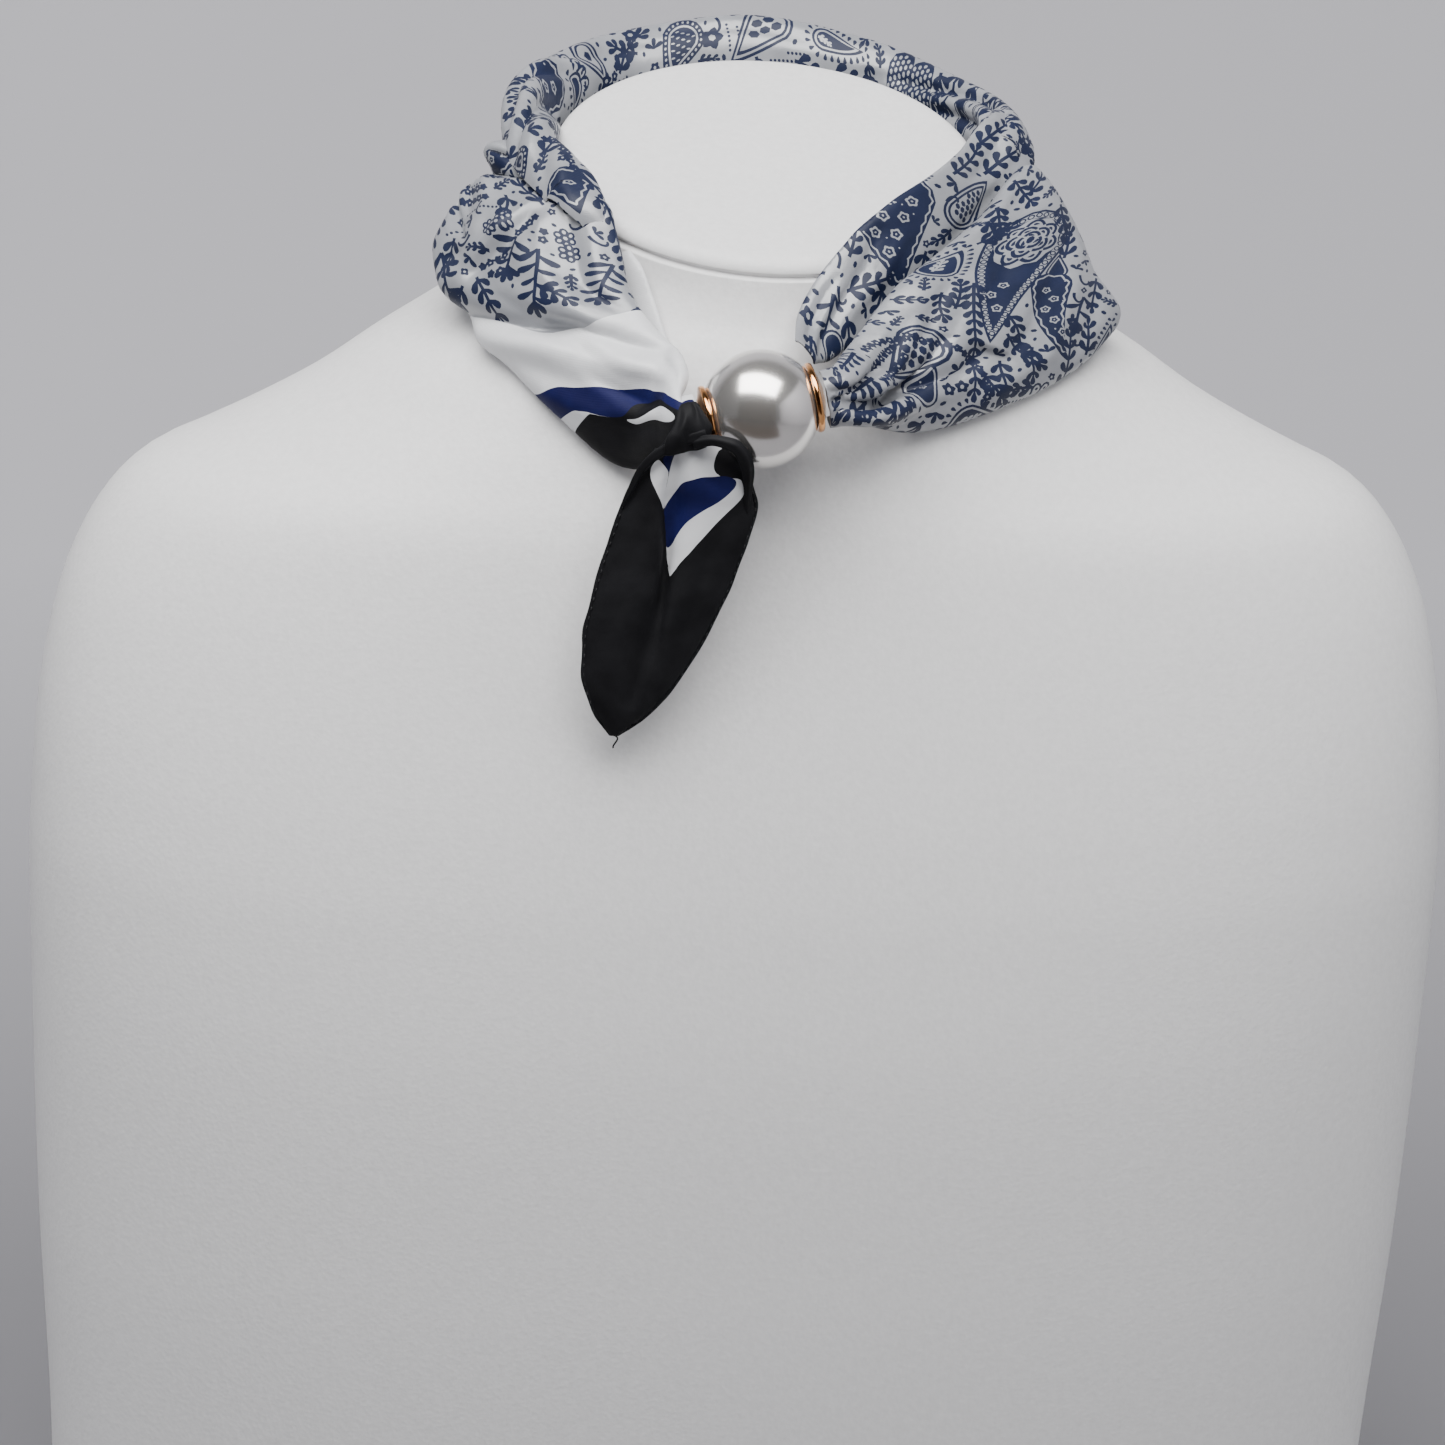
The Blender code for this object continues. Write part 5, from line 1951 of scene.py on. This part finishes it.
TAIL_BANDS = (
    (Ink.BLACK, ((-9, -9), (95, -9), (95, 50), (-9, 50))),
    (Ink.WHITE, (
        (6, 2.1), (6, 2.7), (7.4, 4.9), (9.7, 7.7), (13.3, 9.3), (17.2, 11), (19, 11.4), (16.6, 9.2), (14.4, 7.2),
        (12.4, 5.4), (10.3, 3.1), (8.6, 2.1), (7.3, 1.8),
    )),
    (Ink.WHITE, (
        (-2, 4), (1, 4.5), (5, 5.3), (8.2, 6.9), (12, 8.9), (15, 9.8), (18.3, 11.6), (20.5, 13), (25.3, 15.3),
        (29, 16.2), (31.8, 17), (35, 18.2), (36.6, 19.3), (34.6, 20.4), (32, 21.3), (29.2, 22.7), (26.6, 23.8),
        (24, 25.2), (21.2, 26.6), (18.7, 28), (16.2, 29.2), (13.6, 29.8), (12.2, 29.4), (10, 27.5), (8.6, 26),
        (8.4, 24), (8.4, 22), (8, 20), (6.2, 17.8), (3.8, 15.8), (1.6, 15), (-2, 13),
    )),
    (Ink.ROYAL, (
        (19, 11.6), (17.2, 11.8), (15.8, 12), (13.3, 12.5), (11.3, 13.2), (10, 14.3), (9, 16), (8.7, 18.6),
        (8, 20.4), (8, 22.4), (8.8, 25), (10.6, 26.3), (12.6, 26), (14.6, 25), (16.6, 23.4), (18.4, 21.6),
        (20.3, 20.1), (22.8, 18.6), (25.5, 17.6), (28, 17), (29.6, 16.3), (25.3, 15), (22.5, 13.6), (20, 12.4),
    )),
    (Ink.ROYAL, ((5.3, 2.6), (3.4, 4.3), (5, 5), (7.8, 6.6), (9.6, 7.7), (7.4, 5))),
    (Ink.BLACK, ((-2, 15), (1.4, 14.8), (4.6, 16.3), (6.7, 18), (8, 20), (8, 26), (-2, 26))),
)

ROLL_CREASES = (
    (-2.8, 2.0, ((40, 2), (48, 10), (58, 22), (74, 38))), (1.8, 2.0, ((34, 5), (43, 14), (55, 26), (69, 40))),
    (-2.2, 1.7, ((52, 4), (61, 14), (75, 26), (94, 40))), (1.0, 2.0, ((59, 6), (73, 20), (91, 34), (113, 46))),
    (-1.2, 2.0, ((22, 3), (30, 9), (38, 15))), (0.9, 2.0, ((8, 2), (18, 7), (28, 14))),
    (-0.9, 1.8, ((86, 30), (109, 38), (131, 42))), (-0.8, 2.0, ((117, 34), (143, 40), (169, 41))),
    (0.7, 2.4, ((153, 46), (183, 43), (209, 38))), (-1.6, 1.5, ((189, 44), (213, 36), (235, 26), (253, 16))),
    (-2.2, 1.4, ((203, 40), (225, 32), (245, 22), (260, 10))),
    (1.6, 1.6, ((197, 43), (219, 35), (241, 25), (257, 13))), (-2.0, 1.4, ((213, 42), (233, 34), (252, 26))),
    (1.4, 1.5, ((218, 38), (236, 30), (254, 20))), (-0.9, 2.2, ((83, 10), (123, 16), (163, 20), (203, 12))),
    (-0.8, 2.0, ((103, 56), (143, 58), (183, 56))),
)
PANEL_CREASES = (
    (-2.8, 2.6, ((70, 66), (76, 53), (80, 43), (83, 37), (86, 30), (90.5, 21), (97, 15), (106, 10), (116, 5))),
    (2.0, 3.6, ((76, 64), (81, 52), (86, 42), (91, 33), (97, 25.5), (106, 19), (116, 12))),
    (1.8, 2.0, ((62, 46), (58, 41), (54, 35.5), (50, 30), (46, 25))),
    (-1.5, 2.2, ((66, 47), (62, 40), (58, 34), (53, 28), (48, 22))),
    (-2.0, 1.4, ((36, 49), (42, 50), (48, 50), (54, 47))), (1.2, 4.0, ((66, 50), (72, 38), (78, 28), (90, 16))),
    (-1.6, 2.6, ((30, 42), (40, 44), (52, 50), (60, 56))), (1.3, 2.4, ((30, 36), (44, 38), (56, 44), (66, 50))),
    (-1.2, 2.2, ((40, 29), (52, 31), (64, 36))), (1.0, 2.4, ((40, 22), (56, 24), (70, 24), (84, 18))),
    (-1.3, 2.4, ((44, 15), (60, 16), (74, 15), (90, 8))), (0.9, 2.2, ((50, 9), (64, 10), (80, 9))),
    (-1.7, 1.8, ((106, 24), (114, 21), (121, 18.4), (130, 13))),
    (0.9, 2.2, ((102, 38), (113, 30), (124, 21), (134, 14))), (-1.0, 1.6, ((116, 28), (126, 22), (136, 15))),
    (0.8, 1.8, ((104, 17), (116, 11.5), (128, 7))), (-0.8, 1.6, ((116, 8), (128, 5), (136, 4))),
    (-0.9, 1.6, ((122, 35), (131, 28), (138, 22))), (-0.7, 2.6, ((92, 40), (100, 33), (108, 26))),
)
FAN_CREASES = (
    (-3.4, 1.7, ((90, 21), (104, 21), (114, 20.5), (124, 19.5), (132, 18.5), (142, 15))),
    (1.6, 1.8, ((84, 13), (104, 14), (118, 14.6), (130, 14.6), (142, 13))),
    (-1.9, 1.1, ((114, 9.5), (124, 9.8), (134, 10.5), (143, 11.4))),
    (1.3, 2.2, ((96, 6), (112, 6), (126, 6.6), (142, 7.2))),
    (2.2, 2.8, ((96, 29), (112, 27), (126, 24.5), (142, 20))),
    (-0.5, 1.8, ((104, 34), (118, 31), (130, 27), (142, 22))), (0.8, 1.6, ((112, 3), (128, 2.4), (142, 2))),
    (-1.2, 2.4, ((58, 12), (74, 14), (90, 15.5), (104, 15))), (1.0, 2.8, ((40, 16), (56, 20), (74, 24), (96, 27))),
    (-1.0, 2.6, ((34, 32), (54, 39), (74, 42), (94, 40), (112, 35))),
    (0.9, 2.6, ((38, 40), (58, 48), (80, 51), (98, 44))), (-0.8, 2.4, ((44, 50), (62, 58), (80, 60))),
    (-0.8, 2.8, ((18, 10), (32, 14), (48, 18), (60, 26))), (0.7, 2.2, ((20, 4), (34, 5), (50, 6))),
)
INNER_CREASES = (
    (-1.1, 1.8, ((72, 4), (86, 8), (102, 9), (114, 8))), (0.9, 1.8, ((66, 9), (82, 13), (100, 13))),
    (-0.9, 2.0, ((22, 12), (42, 17), (60, 20))), (-0.9, 1.4, ((94, 4), (106, 4.5), (116, 4))),
    (-0.8, 1.6, ((4, 4), (20, 7), (36, 8))), (0.7, 1.6, ((4, 9), (18, 11), (32, 13))),
    (0.7, 1.4, ((92, 7), (104, 7), (115, 6))),
)
TAIL_CREASES = (
    (0.8, 2.0, ((6, 3.2), (14, 6), (22, 10), (34, 14.6), (50, 18), (64, 17))),
    (-1.3, 1.4, ((2, 4.6), (8, 6.8), (14, 9.4), (20, 12.4), (28, 15.6), (40, 18.6), (54, 20), (68, 18))),
    (-0.8, 1.6, ((1, 11), (5, 13.5), (9, 18), (12, 24))), (0.6, 1.8, ((1, 8), (6, 10.5), (12, 14), (20, 19))),
    (-0.5, 1.0, ((12, 1.4), (34, 1.6), (56, 1.6), (74, 1.4))), (-0.5, 2.4, ((20, 27), (36, 28), (50, 27))),
    (0.4, 2.6, ((30, 8), (44, 10), (58, 10))),
)

LEFT_STRAP = (
    (-22, -95.4, 376.2, 1.8), (-26.5, -94.8, 374.8, 1.7), (-30.5, -94.4, 372.8, 1.5), (-34.6, -93.6, 369.8, 1.4),
    (-37.6, -92.4, 366, 1.15), (-40.4, -91, 359.4, 0.8), (-41.8, -90.2, 356, 0.4),
)
RIGHT_STRAP = (
    (-25, -94.8, 373.8, 1.7), (-20.2, -97.2, 375.2, 1.5), (-15.6, -98.5, 374.4, 1.8), (-12.6, -97.6, 371, 1.9),
    (-11.2, -95.6, 366.4, 1.6), (-10.8, -93.2, 360, 0.95), (-10.6, -91.8, 354.8, 0.45),
)


# ---- Everything together ----


def cloth_pieces() -> dict[str, ClothPiece]:
    """The stretches of the scarf, by name."""
    axis = clasp_axis()
    left_end = tuple(bundle_section(-along, 0.6, 6.6, 5.4) for along in (19.5, 16.3))
    right_end = tuple(bundle_section(along, -0.9, 7.0, 5.5) for along in (19.5, 16.3))
    return {
        "roll": ClothPiece(
            "back_roll_cloth", "scarf_back_roll",
            Stretch(BACK_ROLL, (), ROLL_CREASES, 200, 60), ROLL_PRINT, (), "folded", ROLL_FIELD,
        ),
        "panel": ClothPiece(
            "left_panel_cloth", "scarf_left_panel",
            Stretch(LEFT_PANEL + left_end, PANEL_FOLDS, PANEL_CREASES, 170, 84, axis),
            PANEL_PRINT, PANEL_BANDS, "folded", PANEL_FIELD,
        ),
        "under": ClothPiece(
            "left_under_cloth", "scarf_left_under_layer",
            Stretch(LEFT_UNDER, (), (), 60, 24), (), UNDER_BANDS, "folded", (), "white_cloth",
        ),
        "fan": ClothPiece(
            "right_fan_cloth", "scarf_right_fan",
            Stretch(RIGHT_FAN + right_end, FAN_FOLDS, FAN_CREASES, 180, 96, -axis),
            FAN_PRINT, (), "gathered", FAN_FIELD,
        ),
        "inner": ClothPiece(
            "right_inner_cloth", "scarf_right_inner_layer",
            Stretch(RIGHT_INNER, (), INNER_CREASES, 130, 44), INNER_PRINT, (), "folded", INNER_FIELD,
        ),
        "tail": ClothPiece(
            "tail_cloth", "scarf_tail",
            Stretch(TAIL, TAIL_FOLDS, TAIL_CREASES, 130, 64), (), TAIL_BANDS, "hung", (), "black_cloth",
        ),
    }


def main() -> None:
    """Builds the whole scene in order."""
    logging.basicConfig(level=logging.INFO, format="%(message)s")
    inks = [
        SatinCloth("cloth_ground", (0.265, 0.272, 0.292), (0.215, 0.222, 0.242), 0.31, 0.0, 1.0).build(),
        SatinCloth("cloth_navy", (0.008, 0.013, 0.04), (0.005, 0.009, 0.03), 0.5, 0.01, 0.3).build(),
        SatinCloth("cloth_royal", (0.0085, 0.01, 0.066), (0.005, 0.006, 0.042), 0.6, 0.0, 0.12).build(),
        SatinCloth("cloth_black", (0.0095, 0.0095, 0.011), (0.005, 0.005, 0.006), 0.6, 0.0, 0.12).build(),
        SatinCloth("cloth_white", (0.62, 0.625, 0.645), (0.56, 0.565, 0.585), 0.38, 0.0, 0.6).build(),
    ]
    thread = SatinCloth("hem_thread", (0.014, 0.014, 0.016), (0.009, 0.009, 0.01), 0.6, 0.05).build()
    stand = DisplayBust(BUST_ROWS)
    stand.build(Leatherette().build())
    bust = stand.surface()
    pieces = cloth_pieces()
    made = {name: piece.build(bust, inks) for name, piece in pieces.items()}
    hem = TailHem(pieces["tail"].stretch).build(inks[3], thread)
    Knot(LEFT_STRAP, RIGHT_STRAP).build(inks[3])
    Clasp().build(PearlCoat().build(), RoseGold().build())
    for name, piece in pieces.items():
        rests_on = ["knot_cloth"] if name == "tail" else ["bust_body"]
        piece.declare(made[name], rests_on, hem if name == "tail" else ())
    Studio().build(Paper().build())


if __name__ == "__main__":
    main()
